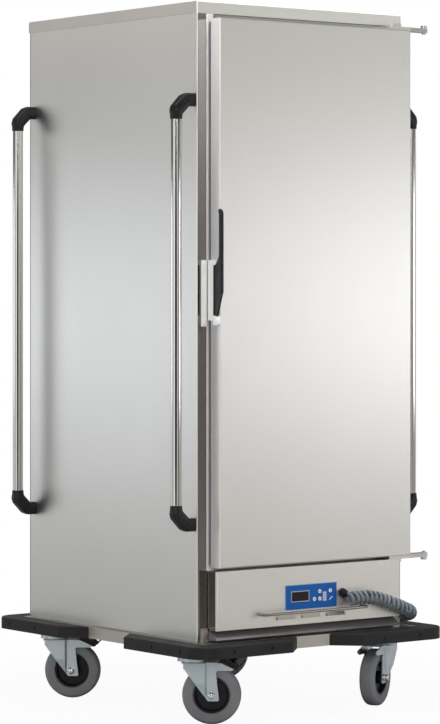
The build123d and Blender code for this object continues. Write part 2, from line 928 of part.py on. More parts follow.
def guard_bar():
    """A thin rail on two returns, in front of the panel's lower edge."""
    y = fascia_front - guard_stand
    path = FilletPolyline((guard_left, fascia_front, guard_height), (guard_left, y, guard_height),
                          (guard_right, y, guard_height), (guard_right, fascia_front, guard_height),
                          radius=guard_bend)
    start = Plane(origin=(guard_left, fascia_front, guard_height), z_dir=(0, -1, 0))
    return sweep(start * Circle(guard_radius), path=path)


def cable_gland():
    """A hexagonal gland nut with a domed cap on the panel."""
    z_dir = (0, -1, 0)
    nut = extrude(Plane(origin=(gland_x, fascia_front, gland_z), z_dir=z_dir)
                  * RegularPolygon(gland_nut_radius, 6), amount=gland_length / 2)
    dome = extrude(Plane(origin=(gland_x, fascia_front - gland_length / 2, gland_z), z_dir=z_dir)
                   * Circle(gland_dome_radius), amount=gland_length / 2)
    dome = chamfer(dome.faces().sort_by(Axis.Y)[0].edges(), gland_dome_edge)
    return nut + dome


def heater_well():
    """The sheet well in the floor that holds the element and the fan."""
    low = cavity_floor - liner_sheet - well_depth
    well = block((-well_half, well_half), (well_front, well_back), (low, cavity_floor))
    well -= block((-well_half + liner_sheet, well_half - liner_sheet),
                  (well_front + liner_sheet, well_back - liner_sheet),
                  (low + liner_sheet, cavity_floor))
    y = (well_front + well_back) / 2
    return well - post(shaft_radius + shaft_hole_gap, 0, y, (low, low + liner_sheet))


def fan_motor():
    """The motor under the well, with the shaft that carries the impeller."""
    y = (well_front + well_back) / 2
    top = cavity_floor - liner_sheet - well_depth
    can = post(motor_radius, 0, y, (top - motor_height, top))
    shaft_top = cavity_floor - well_depth + impeller_lift + impeller_height + shaft_end
    shaft = post(shaft_radius, 0, y, (top, shaft_top))
    return can + shaft


def fan_impeller():
    """A radial wheel: a back disc, a ring of blades and a hub on the shaft."""
    y = (well_front + well_back) / 2
    low = cavity_floor - well_depth + impeller_lift
    wheel = post(impeller_radius, 0, 0, (low, low + impeller_disc))
    wheel += post(shaft_radius + impeller_hub_wall, 0, 0, (low, low + impeller_hub_height))
    blade_tip = impeller_radius - blade_inset
    blade = block((blade_tip - blade_length, blade_tip), (-blade_thickness / 2, blade_thickness / 2),
                  (low + impeller_disc, low + impeller_height))
    for index in range(impeller_blades):
        wheel += Rot(0, 0, index * 360 / impeller_blades) * blade
    wheel -= post(shaft_radius + running_gap, 0, 0, (low, low + impeller_height))
    return Pos(0, y, 0) * wheel


def heating_element():
    """An open ring of tube round the impeller, with two terminals down to the well's floor."""
    y = (well_front + well_back) / 2
    z = cavity_floor - well_depth / 2
    start = element_gap_angle / 2 - 90
    ring = CenterArc((0, y, z), element_radius, start, 360 - element_gap_angle)
    profile = Plane(origin=ring @ 0, z_dir=ring % 0) * Circle(element_tube)
    element = sweep(profile, path=ring)
    for end in (0, 1):
        place = ring @ end
        element += post(element_tube, place.X, place.Y, (cavity_floor - well_depth, z))
        element += Pos(place) * Sphere(element_tube)
    return element


def fan_grille():
    """The slotted plate over the well."""
    y = (well_front + well_back) / 2
    half_x = well_half + well_flange
    half_y = (well_back - well_front) / 2 + well_flange
    plate = block((-half_x, half_x), (y - half_y, y + half_y), (cavity_floor, cavity_floor + sheet))
    step = 2 * well_half / (grille_slots + 1)
    near = grille_rib
    far = half_y - well_flange - grille_rib
    for index in range(grille_slots):
        x = -well_half + (index + 1) * step
        for span in ((y - far, y - near), (y + near, y + far)):
            plate -= block((x - grille_slot_width / 2, x + grille_slot_width / 2), span,
                           (cavity_floor, cavity_floor + sheet))
    return plate


def water_tray():
    tray = block((-tray_half, tray_half), (tray_front, tray_back),
                 (cavity_floor, cavity_floor + tray_height))
    tray = fillet(tray.edges().filter_by(Axis.Z), tray_corner)
    return tray - block((-tray_half + tray_wall, tray_half - tray_wall),
                        (tray_front + tray_wall, tray_back - tray_wall),
                        (cavity_floor + tray_wall, cavity_floor + tray_height))


def castor_places():
    x = half_width - castor_inboard
    return {
        "front_left": (-x, castor_front_y),
        "front_right": (x, castor_front_y),
        "rear_left": (-x, castor_rear_y),
        "rear_right": (x, castor_rear_y),
    }


def castor_bolt_places():
    places = []
    for x, y in castor_places().values():
        for side in (-1, 1):
            for end in (-1, 1):
                places.append((x + side * castor_bolt_x / 2, y + end * castor_bolt_y / 2))
    return places


def castor_plates():
    """The four top plates, each with its race dish and king pin."""
    low = chassis_bottom - castor_plate_thickness
    dish_low = crown_bottom + crown_thickness + race_height
    pieces = []
    for x, y in castor_places().values():
        half_x = castor_plate_x / 2
        half_y = castor_plate_y / 2
        plate = block((x - half_x, x + half_x), (y - half_y, y + half_y), (low, chassis_bottom))
        plate = fillet(plate.edges().filter_by(Axis.Z), castor_plate_corner)
        plate += post(race_radius, x, y, (dish_low, low))
        nut_low = crown_bottom - king_nut_height
        plate += post(king_pin_radius, x, y, (nut_low, dish_low))
        plate += post(king_pin_radius + king_nut_wall, x, y, (nut_low, crown_bottom - race_gap))
        for side in (-1, 1):
            for end in (-1, 1):
                plate -= post(castor_bolt_radius + seam, x + side * castor_bolt_x / 2,
                              y + end * castor_bolt_y / 2, (low, chassis_bottom))
        pieces.append(plate)
    return pieces


def castor_bolts():
    """Hexagon bolts up through the plates and gussets."""
    low = chassis_bottom - castor_plate_thickness
    pieces = []
    for x, y in castor_bolt_places():
        head = Pos(x, y, low - castor_bolt_head) * RegularPolygon(castor_bolt_head_radius, 6)
        head = extrude(head, amount=castor_bolt_head)
        shank = post(castor_bolt_radius, x, y,
                     (low, chassis_bottom + gusset_thickness + castor_bolt_stand))
        pieces.append(head + shank)
    return pieces


def fork_leg_plan(flare):
    """A leg seen from above: flat beside the wheel, then folded outwards towards the head."""
    inner = fork_leg_inner
    outer = fork_leg_inner + fork_leg_thickness
    front = castor_trail + fork_arm_reach
    back = crown_back + fork_nose
    return make_face(Polyline((front, outer), (fork_fold_front, outer), (fork_fold_back, outer + flare),
                              (back, outer + flare), (back, inner + flare),
                              (fork_fold_back - fork_fold_inset, inner + flare),
                              (fork_fold_front - fork_fold_inset, inner), (front, inner), close=True))


def fork_leg():
    """One leg's pressed sheet, whose back part leans out to the head's full width."""
    foot = wheel_radius - fork_foot_below
    bend = crown_bottom - fork_flare_drop
    flare = race_radius - fork_leg_inner - fork_leg_thickness
    leaning = loft([Pos(0, 0, foot) * fork_leg_plan(0), Pos(0, 0, bend) * fork_leg_plan(flare)], ruled=True)
    upright = extrude(Pos(0, 0, bend) * fork_leg_plan(flare), amount=crown_bottom + crown_thickness - bend)
    return leaning + upright


def fork_side(leg_top):
    """The outline of the legs from the side, as a cutter across the whole fork."""
    foot = wheel_radius - fork_foot_below
    arm_low = crown_bottom - fork_arm_drop
    arm_tip = crown_bottom - fork_arm_tip_drop
    outline = Polyline((crown_back, leg_top), (crown_back, crown_bottom - fork_heel_drop),
                       (castor_trail - fork_foot_back, foot + fork_foot_edge),
                       (castor_trail - fork_foot_back + fork_foot_edge, foot),
                       (castor_trail + fork_foot_front - fork_foot_edge, foot),
                       (castor_trail + fork_foot_front, foot + fork_foot_edge),
                       (castor_trail + fork_waist, crown_bottom - fork_waist_drop),
                       (castor_trail + fork_arm_start, arm_low),
                       (castor_trail + fork_arm_bend, arm_low),
                       (castor_trail + fork_arm_reach, arm_tip),
                       (castor_trail + fork_arm_reach - fork_arm_tip_draft, arm_tip + fork_arm_tip_depth),
                       (crown_front + fork_arm_shoulder, leg_top + fork_arm_rise),
                       (crown_front, leg_top), close=True)
    return Pos(0, race_radius, 0) * extrude(Plane.XZ * make_face(outline), amount=2 * race_radius)


def fork_crown():
    """The crown's plate: as wide as the head behind, and as narrow as the legs in front."""
    leg_outer = fork_leg_inner + fork_leg_thickness
    half = [(crown_front, leg_outer), (fork_fold_front, leg_outer), (fork_fold_back, race_radius),
            (crown_back + fork_nose, race_radius), (crown_back, race_radius - fork_nose)]
    other = [(s, -n) for s, n in reversed(half)]
    crown = extrude(Pos(0, 0, crown_bottom) * make_face(Polyline(*half, *other, close=True)),
                    amount=crown_thickness)
    return fillet(crown.edges().group_by(Axis.Z)[-1], crown_edge)


def castor_fork():
    """A pressed fork with its crown, race ring and axle bolt, heading along x."""
    leg_outer = fork_leg_inner + fork_leg_thickness
    crown_top = crown_bottom + crown_thickness
    legs = fork_leg()
    legs += mirror(legs, Plane.XZ)
    fork = legs & fork_side(crown_top - crown_edge - stack_gap)
    fork += fork_crown()
    fork += post(race_radius + race_lip, 0, 0, (crown_top, crown_top + race_height - race_gap))
    across = (-leg_outer, leg_outer)
    fork -= depth_bar(axle_radius + axle_fit, castor_trail, across, wheel_radius)
    fork -= depth_bar(pedal_pin_radius + running_gap, pedal_pivot_s, across, pedal_pivot_z)
    fork -= post(king_pin_radius + running_gap, 0, 0, (crown_bottom, crown_top + race_height))
    axle = depth_bar(axle_radius, castor_trail, (-leg_outer - axle_end, leg_outer + axle_end), wheel_radius)
    for side in (-1, 1):
        seat = Plane(origin=(castor_trail, side * leg_outer, wheel_radius), z_dir=(0, side, 0))
        axle += extrude(seat * Circle(axle_washer_radius), amount=axle_washer)
        nut = seat.offset(axle_washer) * RegularPolygon(axle_nut_radius, 6)
        axle += extrude(nut, amount=axle_nut_height)
    return [fork, axle]


def castor_rim():
    """The wheel's moulded centre: hub, thin web and the seat of the tyre."""
    inner = axle_radius + running_gap
    hub_half = fork_leg_inner - stack_gap
    seat = rim_width / 2
    web = rim_web / 2
    lip = rim_radius - rim_lip
    profile = Polyline((inner, -hub_half), (hub_radius, -hub_half), (hub_radius + hub_draft, -web),
                       (lip - rim_slope, -web), (lip, -seat), (rim_radius, -seat),
                       (rim_radius, seat), (lip, seat), (lip - rim_slope, web),
                       (hub_radius + hub_draft, web), (hub_radius, hub_half), (inner, hub_half),
                       close=True)
    return wheel_from(profile)


def castor_tyre():
    """The solid rubber tyre, crowned across its tread."""
    half = tread_width / 2
    seat = rim_width / 2
    shoulder = wheel_radius - tyre_shoulder
    rounding = (shoulder + tyre_shoulder_rise, half - tyre_shoulder_in)
    slope = (wheel_radius - tread_crown, tread_slope / 2)
    flat = (wheel_radius, tread_flat / 2)
    line = Polyline((rim_radius, seat), (rim_radius, -seat), (rim_radius + tyre_side_step, -half),
                    (shoulder, -half))
    line += ThreePointArc((shoulder, -half), (rounding[0], -rounding[1]), (slope[0], -slope[1]))
    line += Polyline((slope[0], -slope[1]), (flat[0], -flat[1]), flat, slope)
    line += ThreePointArc(slope, rounding, (shoulder, half))
    line += Polyline((shoulder, half), (rim_radius + tyre_side_step, half), (rim_radius, seat))
    return wheel_from(line)


def wheel_from(profile):
    """Turns a (radius, width) outline round the wheel's axle, which runs along y."""
    solid = revolve(make_face(profile), Axis.Y)
    return Pos(castor_trail, 0, wheel_radius) * solid


def brake_pedal():
    """A rocking pedal between the fork's legs: a folded strip on two lugs and a pin."""
    leg_outer = fork_leg_inner + fork_leg_thickness
    inner = fork_leg_inner - stack_gap
    heel = pedal_pivot_s - pedal_heel
    heel_z = pedal_pivot_z + pedal_heel_rise
    dip = (pedal_pivot_s + pedal_dip_out, crown_bottom - pedal_dip_drop)
    under = (dip[0], dip[1] - pedal_strip - pedal_fold)
    tip_z = pedal_pivot_z + pedal_tip_rise
    strip_line = Polyline((heel, heel_z), (heel + pedal_heel_edge, heel_z + pedal_heel_top), dip, under,
                          close=True)
    strip = Pos(0, inner, 0) * extrude(Plane.XZ * make_face(strip_line), amount=2 * inner)
    tread_line = Polyline((dip[0] - pedal_tip_edge, dip[1] - pedal_strip + pedal_fold), dip,
                          (pedal_tip - pedal_tip_edge, tip_z), (pedal_tip, tip_z - pedal_tip_edge), under,
                          close=True)
    tread = Pos(0, inner, 0) * extrude(Plane.XZ * make_face(tread_line), amount=2 * inner)
    lug_low = pedal_pivot_z - pedal_lug_low
    lug_line = Polyline((heel + pedal_heel_edge, heel_z), (pedal_pivot_s - pedal_lug_back, lug_low),
                        (pedal_pivot_s + pedal_lug_front, lug_low),
                        (pedal_pivot_s + pedal_lug_nose, pedal_pivot_z - pedal_lug_nose_drop), close=True)
    lug = extrude(Plane.XZ * make_face(lug_line), amount=pedal_strip)
    pin = depth_bar(pedal_pin_radius, pedal_pivot_s,
                    (-leg_outer - pedal_pin_end, leg_outer + pedal_pin_end), pedal_pivot_z)
    return strip + tread + Pos(0, -inner + pedal_strip, 0) * lug + Pos(0, inner, 0) * lug + pin


def placed_castor(piece, corner):
    """Moves a castor piece from the swivel's own axes to its corner and heading."""
    x, y = castor_places()[corner]
    return Pos(x, y, 0) * Rot(0, 0, castor_headings[corner]) * piece


# The cord's curls follow this line, from the gland round the corner and back along the side.
side_lane = half_width + lane_gap
curl_floor = chassis_top + curl_radius + wire_radius + lying_gap
curl_route = [
    (gland_x + 2, -59.5, gland_z - curl_radius),
    (-half_width + 470, -60, 296.5),
    (-half_width + 505, -61, 296.5),
    (-half_width + 540, -61, 286),
    (-half_width + 575, -61, 269),
    (-half_width + 610, -60, 253),
    (-half_width + 640, -54, 241),
    (-half_width + 664, -40, 233),
    (-half_width + 682, -18, curl_floor + 1),
    (side_lane, 10, curl_floor),
    (side_lane, 50, curl_floor),
    (side_lane, 110, curl_floor),
]


def route_line():
    return Spline(*curl_route)


def curl_point(line, turn):
    """The wire's middle after so many turns, on the circle round the route."""
    share = turn * curl_pitch / line.length
    middle = line @ share
    along = line % share
    side = along.cross(Vector(0, 0, 1)).normalized()
    up = side.cross(along).normalized()
    angle = turn * 2 * math.pi
    return middle + up * (curl_radius * math.cos(angle)) + side * (curl_radius * math.sin(angle))


def tangent_at(line, turn):
    step = 0.002
    return (curl_point(line, turn + step) - curl_point(line, turn - step)).normalized()


def arc_through(start, corner, end):
    """The arc from start to end that is tangent to both legs of an even-sided corner."""
    chord_middle = (start + end) * 0.5
    half_chord = (end - start).length / 2
    rise = (corner - chord_middle).length
    angle = math.atan2(rise, half_chord)
    middle = chord_middle + (corner - chord_middle) * (math.tan(angle / 2) / math.tan(angle))
    return ThreePointArc(start, middle, end)


def biarc(start, start_way, end, end_way):
    """Two arcs that leave start and reach end along the given directions."""
    across = end - start
    both = start_way + end_way
    turn = 2 * (1 - start_way.dot(end_way))
    reach = (-across.dot(both) + math.sqrt(across.dot(both) ** 2 + turn * across.dot(across))) / turn
    first = start + start_way * reach
    second = end - end_way * reach
    join = (first + second) * 0.5
    return [arc_through(start, first, join), arc_through(join, second, end)]


def cord_wire():
    """The whole path of the wire: lead-in, curls, run-out and the stretch into the plug."""
    line = route_line()
    halves = int(line.length / curl_pitch * 2)
    turns = halves / 2
    parts = []
    exit_point = Vector(gland_x, fascia_front - gland_length, gland_z)
    straight_end = exit_point + Vector(0, -1, 0) * cord_lead_in
    parts.append(Line(exit_point, straight_end))
    previous = straight_end
    previous_way = Vector(0, -1, 0)
    for index in range(1, halves + 1):
        point = curl_point(line, index / 2)
        way = tangent_at(line, index / 2)
        parts += biarc(previous, previous_way, point, way)
        previous = point
        previous_way = way
    end_axis = line @ (turns * curl_pitch / line.length)
    plug_start = Vector(side_lane, end_axis.Y + plug_run, chassis_top + plug_radius + lying_gap)
    parts += biarc(previous, previous_way, plug_start - Vector(0, cord_lead_in, 0), Vector(0, 1, 0))
    parts.append(Line(plug_start - Vector(0, cord_lead_in, 0), plug_start))
    return parts, plug_start, turns


def least_gap(path):
    """The smallest gap between stretches of the wire that aren't next to each other."""
    count = int(path.length / 2)
    points = [path @ (index / count) for index in range(count + 1)]
    skip = int(3 * wire_radius)
    least = 1000.0
    for index, point in enumerate(points):
        for other in points[index + skip:]:
            least = min(least, (point - other).length)
    return least - 2 * wire_radius


def curly_cord():
    parts, plug_start, turns = cord_wire()
    path = Wire(parts)
    section = Plane(origin=path @ 0, z_dir=path % 0) * Circle(wire_radius)
    cord = sweep(section, path=path)
    print("cord wire length", round(path.length, 1), "turns", turns)
    print("cord least gap to itself", round(least_gap(path), 2))
    print("cord volume over section times length",
          round(cord.volume / (math.pi * wire_radius ** 2 * path.length), 4))
    return cord, plug_start


def mains_plug(start):
    """A round moulded plug lying on its side, with a tapered relief and two pins."""
    relief = Plane(origin=start, z_dir=(0, 1, 0)) * Circle(wire_radius + plug_neck_wall)
    shoulder = Plane(origin=start + Vector(0, plug_relief, 0), z_dir=(0, 1, 0))
    shoulder = shoulder * Circle(plug_neck_radius)
    body_end = start.Y + plug_relief + plug_length
    plug = loft([relief, shoulder])
    body = depth_bar(plug_radius, start.X, (start.Y + plug_relief, body_end), start.Z)
    body = chamfer(body.faces().sort_by(Axis.Y)[0].edges(), plug_edge)
    plug += body
    for side in (-1, 1):
        plug += depth_bar(plug_pin_radius, start.X, (body_end, body_end + plug_pin_length),
                          start.Z + side * plug_pin_spacing / 2)
    return plug


def all_pieces():
    cord, plug_start = curly_cord()
    left_panel, right_panel = left_and_right(side_panel())
    rack_left = rack()
    bumpers = []
    for front in (True, False):
        bumpers += left_and_right(bumper(front))
    pieces = {
        "side_panel_left": left_panel,
        "side_panel_right": right_panel,
        "back_panel": back_panel(),
        "roof_cap": roof_cap(),
        "door_frame": door_frame(),
        "inner_liner": inner_liner(),
        "insulation": insulation(),
        "rack_left": rack_left,
        "rack_right": [mirror(piece, about=Plane.YZ) for piece in rack_left],
        "base_pan": base_pan(),
        "chassis_frame": chassis_frame(),
        "skirt_plate": skirt_plate(),
        "corner_bumpers": bumpers,
        "bumper_screws": bumper_screws(),
        "handle_tubes": handle_tubes(),
        "handle_elbows": handle_elbows(),
        "hinge_brackets": hinge_brackets(),
        "latch_strike": latch_strike(),
        "control_fascia": control_fascia(),
        "control_membrane": control_membrane(),
        "display_window": display_window(),
        "controller_box": controller_box(),
        "guard_bar": guard_bar(),
        "cable_gland": cable_gland(),
        "curly_cord": cord,
        "mains_plug": mains_plug(plug_start),
        "heater_well": heater_well(),
        "heating_element": heating_element(),
        "fan_motor": fan_motor(),
        "fan_impeller": fan_impeller(),
        "fan_grille": fan_grille(),
        "water_tray": water_tray(),
        "castor_plates": castor_plates(),
        "castor_bolts": castor_bolts(),
        "door_skin": door_skin(),
        "door_inner_pan": door_inner_pan(),
        "door_foam": door_foam(),
        "door_gasket": door_gasket(),
        "hinge_arms": hinge_arms(),
        "latch_case": latch_case(),
        "latch_lever": latch_lever(),
    }
    for name, (x, z) in key_places().items():
        pieces[name] = panel_key(x, z)
    fork = castor_fork()
    rim = castor_rim()
    tyre = castor_tyre()
    for corner in castor_places():
        pieces["castor_fork_" + corner] = [placed_castor(piece, corner) for piece in fork]
        pieces["castor_rim_" + corner] = placed_castor(rim, corner)
        pieces["castor_tyre_" + corner] = placed_castor(tyre, corner)
    for corner in ("front_left", "rear_left"):
        pieces["brake_pedal_" + corner] = placed_castor(brake_pedal(), corner)
    return pieces


def write_parts():
    os.makedirs("parts", exist_ok=True)
    to_origin = Pos(-centre_x, -centre_y, 0)
    for name, piece in all_pieces().items():
        solids = piece if isinstance(piece, list) else [piece]
        moved = [to_origin * solid for solid in solids]
        whole = Compound(children=moved) if len(moved) > 1 else moved[0]
        export_step(whole, "parts/" + name + ".step")
    print("origin shift", round(-centre_x, 3), round(-centre_y, 3))


write_parts()
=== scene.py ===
import bpy
import bmesh
import math
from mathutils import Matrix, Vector


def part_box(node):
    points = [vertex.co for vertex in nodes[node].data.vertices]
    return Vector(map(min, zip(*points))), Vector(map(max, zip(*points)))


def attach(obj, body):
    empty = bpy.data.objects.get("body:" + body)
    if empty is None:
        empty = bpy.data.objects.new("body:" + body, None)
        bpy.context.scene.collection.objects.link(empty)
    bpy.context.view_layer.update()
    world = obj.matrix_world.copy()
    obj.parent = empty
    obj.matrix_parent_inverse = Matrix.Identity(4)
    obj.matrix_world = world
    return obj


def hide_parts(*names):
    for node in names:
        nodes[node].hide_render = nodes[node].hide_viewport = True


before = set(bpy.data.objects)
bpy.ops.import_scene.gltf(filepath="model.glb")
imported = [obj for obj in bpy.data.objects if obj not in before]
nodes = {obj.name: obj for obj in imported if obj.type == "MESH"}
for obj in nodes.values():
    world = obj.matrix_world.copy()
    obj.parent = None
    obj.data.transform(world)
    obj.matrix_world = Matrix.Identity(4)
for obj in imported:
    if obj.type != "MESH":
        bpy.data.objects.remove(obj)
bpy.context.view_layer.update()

# Sizes are in metres. These place the cabinet's centre line and front plane in the shared frame.
cabinet_x = -0.0045
front_y = -0.355
half_width = 0.3325
all_corners = ("front_left", "rear_left", "front_right", "rear_right")
braked_corners = ("front_left", "rear_left")


def at(x, y, z):
    """A place from the cabinet's centre line, its front plane and the floor."""
    return Vector((x + cabinet_x, y + front_y, z))


def for_corners(prefix, corners, value):
    """The same value for a piece at each of these corners."""
    return {prefix + corner: value for corner in corners}


# Camera, at the photograph's viewing angle
camera_data = bpy.data.cameras.new("camera")
camera_data.sensor_width = 36
camera_data.lens = 147.57
camera_data.shift_x = -0.0009
camera_data.shift_y = -0.1018
camera_data.clip_end = 60
camera = bpy.data.objects.new("camera", camera_data)
camera.location = (-4.752, -6.264, 1.090)
camera.rotation_euler = (math.radians(90), 0, math.radians(-37.22))
bpy.context.collection.objects.link(camera)
bpy.context.scene.camera = camera


# Materials. A grain is a texture's scale along x, y and z; it is low along the way of the streaks.
upright_grain = (900, 900, 7)
side_grain = (900, 7, 900)
cross_grain = (7, 900, 900)
cloud_scale = (2.2, 2.2, 1.6)
patch_scale = (14, 14, 14)


def make_material(name):
    """A new material, with its node tree and its shader."""
    material = bpy.data.materials.new(name)
    material.use_nodes = True
    tree = material.node_tree
    return material, tree, tree.nodes["Principled BSDF"]


def noise(tree, scale, detail):
    """Noise in the coordinates of the piece itself, in metres times a scale for each axis."""
    source = tree.nodes.new("ShaderNodeTexCoord")
    mapping = tree.nodes.new("ShaderNodeMapping")
    mapping.inputs["Scale"].default_value = scale
    tree.links.new(source.outputs["Object"], mapping.inputs["Vector"])
    node = tree.nodes.new("ShaderNodeTexNoise")
    node.inputs["Scale"].default_value = 1.0
    node.inputs["Detail"].default_value = detail
    tree.links.new(mapping.outputs["Vector"], node.inputs["Vector"])
    return node.outputs["Fac"]


def mapped(tree, value, from_low, from_high, low, high):
    """A node that maps a range of a value on to low and high, and holds it there beyond."""
    node = tree.nodes.new("ShaderNodeMapRange")
    node.inputs["From Min"].default_value = from_low
    node.inputs["From Max"].default_value = from_high
    node.inputs["To Min"].default_value = low
    node.inputs["To Max"].default_value = high
    tree.links.new(value, node.inputs["Value"])
    return node


def spread(tree, value, low, high):
    """Maps a texture's middle range on to low and high."""
    return mapped(tree, value, 0.3, 0.7, low, high).outputs["Result"]


def tint(tree, value, dark, light):
    """A colour from dark to light by a texture's middle range."""
    node = tree.nodes.new("ShaderNodeMix")
    node.data_type = "RGBA"
    node.inputs["A"].default_value = (*dark, 1)
    node.inputs["B"].default_value = (*light, 1)
    tree.links.new(spread(tree, value, 0.0, 1.0), node.inputs["Factor"])
    return node.outputs["Result"]


def bump(tree, shader, value, strength, distance):
    """Gives the shader's normal the relief of a texture."""
    node = tree.nodes.new("ShaderNodeBump")
    node.inputs["Strength"].default_value = strength
    node.inputs["Distance"].default_value = distance
    tree.links.new(value, node.inputs["Height"])
    tree.links.new(node.outputs["Normal"], shader.inputs["Normal"])


def brushed(name, dark, light, rough_low, rough_high, grain, metallic=1.0, depth=0.000014):
    """Brushed metal: long fine streaks along the grain, with slow cloudy patches over them."""
    material, tree, shader = make_material(name)
    streaks = noise(tree, grain, 4.0)
    clouds = noise(tree, cloud_scale, 2.0)
    tree.links.new(tint(tree, clouds, dark, light), shader.inputs["Base Color"])
    tree.links.new(spread(tree, streaks, rough_low, rough_high), shader.inputs["Roughness"])
    shader.inputs["Metallic"].default_value = metallic
    bump(tree, shader, streaks, 0.25, depth)
    return material


def moulded(name, dark, light, roughness, grain=900, depth=0.00006, gloss=0.5):
    """Moulded plastic, rubber or paint: a fine even grain and slight patches of tone."""
    material, tree, shader = make_material(name)
    grains = noise(tree, (grain, grain, grain), 2.0)
    patches = noise(tree, patch_scale, 3.0)
    tree.links.new(tint(tree, patches, dark, light), shader.inputs["Base Color"])
    tree.links.new(spread(tree, patches, roughness - 0.05, roughness + 0.06),
                   shader.inputs["Roughness"])
    shader.inputs["Specular IOR Level"].default_value = gloss
    bump(tree, shader, grains, 0.3, depth)
    return material


def axis_mask(tree, coordinates, axis, both_ways, low, high):
    """A mask that rises from low to high along one axis of a piece's own coordinates or normals,
    or with the distance either way along it."""
    source = tree.nodes.new("ShaderNodeTexCoord")
    parts = tree.nodes.new("ShaderNodeSeparateXYZ")
    tree.links.new(source.outputs[coordinates], parts.inputs["Vector"])
    value = parts.outputs[axis]
    if both_ways:
        size = tree.nodes.new("ShaderNodeMath")
        size.operation = "ABSOLUTE"
        tree.links.new(value, size.inputs[0])
        value = size.outputs["Value"]
    return mapped(tree, value, low, high, 0.0, 1.0).outputs["Result"]


def masked(material, mask, dark, light, rough_low, rough_high, metallic):
    """Lays another tone, roughness and metalness over a material where the mask is."""
    tree = material.node_tree
    shader = tree.nodes["Principled BSDF"]
    streaks = noise(tree, upright_grain, 2.0)
    clouds = noise(tree, cloud_scale, 2.0)
    for name, over in (("Base Color", tint(tree, clouds, dark, light)),
                       ("Roughness", spread(tree, streaks, rough_low, rough_high))):
        under = shader.inputs[name].links[0].from_socket
        blend = tree.nodes.new("ShaderNodeMix")
        blend.data_type = "RGBA" if name == "Base Color" else "FLOAT"
        tree.links.new(mask, blend.inputs["Factor"])
        tree.links.new(under, blend.inputs["A"])
        tree.links.new(over, blend.inputs["B"])
        tree.links.new(blend.outputs["Result"], shader.inputs[name])
    metalness = shader.inputs["Metallic"]
    sheen = mapped(tree, mask, 0.0, 1.0, metalness.default_value, metallic)
    if metalness.links:
        tree.links.new(metalness.links[0].from_socket, sheen.inputs["To Min"])
    tree.links.new(sheen.outputs["Result"], metalness)


def paint_fold_light_and_shade(material, axis, both_ways, dark, light, rough_low, rough_high, metallic=1.0):
    """Paints a near-white highlight along a sheet's bend, and gives the face past it a smoother
    finish in its own tone: painted light on some sheets, painted shade on others. Both are found
    by how far the piece's own normal has turned to the axis."""
    tree = material.node_tree
    way = 1 if both_ways else -1
    # Painted highlight: the bend's facets get a near-white tone.
    painted_bend_highlight = axis_mask(tree, "Normal", axis, both_ways, way * 0.12, way * 0.35)
    masked(material, painted_bend_highlight, (0.92, 0.92, 0.90), (0.97, 0.97, 0.95), 0.15, 0.20, 0.30)
    # The face past the bend gets the tone given for it: painted light on the door's sides and the
    # roof's front, painted shade on the side panels' front and the control cover's left face.
    face = axis_mask(tree, "Normal", axis, both_ways, way * 0.90, way * 0.975)
    masked(material, face, dark, light, rough_low, rough_high, metallic)


# Dark and light tone, lowest and highest roughness, grain, then metalness and depth of the grain
metals = {
    "side_steel": ((0.67, 0.68, 0.67), (0.70, 0.71, 0.70), 0.35, 0.39, upright_grain),
    "door_steel": ((0.77, 0.76, 0.73), (0.79, 0.78, 0.75), 0.35, 0.39, upright_grain),
    "door_sheet": ((0.77, 0.76, 0.73), (0.79, 0.78, 0.75), 0.35, 0.39, upright_grain),
    "fascia_steel": ((0.81, 0.795, 0.755), (0.835, 0.82, 0.78), 0.34, 0.40, cross_grain),
    "frame_steel": ((0.46, 0.46, 0.46), (0.54, 0.54, 0.54), 0.30, 0.42, upright_grain),
    "roof_steel": ((0.575, 0.565, 0.555), (0.625, 0.615, 0.605), 0.30, 0.40, cross_grain),
    "inner_steel": ((0.60, 0.60, 0.59), (0.66, 0.66, 0.65), 0.30, 0.42, cross_grain),
    "rail_steel": ((0.50, 0.48, 0.44), (0.62, 0.60, 0.55), 0.30, 0.44, side_grain),
    "guard_steel": ((0.29, 0.275, 0.25), (0.40, 0.385, 0.355), 0.14, 0.20, cross_grain),
    # The latch's chrome case and strike get a near-white, barely metallic tone: painted reflection
    # of the bright studio, in place of the chrome's mirror finish.
    "chrome_painted_reflection": ((0.91, 0.92, 0.94), (0.96, 0.97, 0.98), 0.16, 0.28, cross_grain, 0.12),
    "dark_sheet": ((0.10, 0.10, 0.105), (0.15, 0.15, 0.155), 0.34, 0.46, cross_grain, 0.6),
    # The sloped skirt plate under the control cover: its dark grey, non-metal tone is painted shade
    # for the shadow under the cover's overhang.
    "skirt_painted_shade": ((0.165, 0.156, 0.168), (0.205, 0.195, 0.208), 0.50, 0.62, cross_grain, 0.0),
    "dark_screw": ((0.018, 0.018, 0.020), (0.035, 0.035, 0.038), 0.40, 0.55, (300, 300, 300), 0.5),
    "cast_alloy": ((0.58, 0.58, 0.58), (0.68, 0.68, 0.68), 0.35, 0.50, (200, 200, 200)),
    "tube_steel": ((0.76, 0.75, 0.73), (0.82, 0.81, 0.79), 0.11, 0.15, (160, 160, 2), 1.0, 4e-7),
    "zinc": ((0.54, 0.63, 0.69), (0.68, 0.77, 0.83), 0.28, 0.40, (120, 120, 120), 1.0, 2e-5),
    "polished": ((0.80, 0.82, 0.84), (0.88, 0.90, 0.92), 0.10, 0.18, (200, 200, 200), 1.0, 2e-6),
}
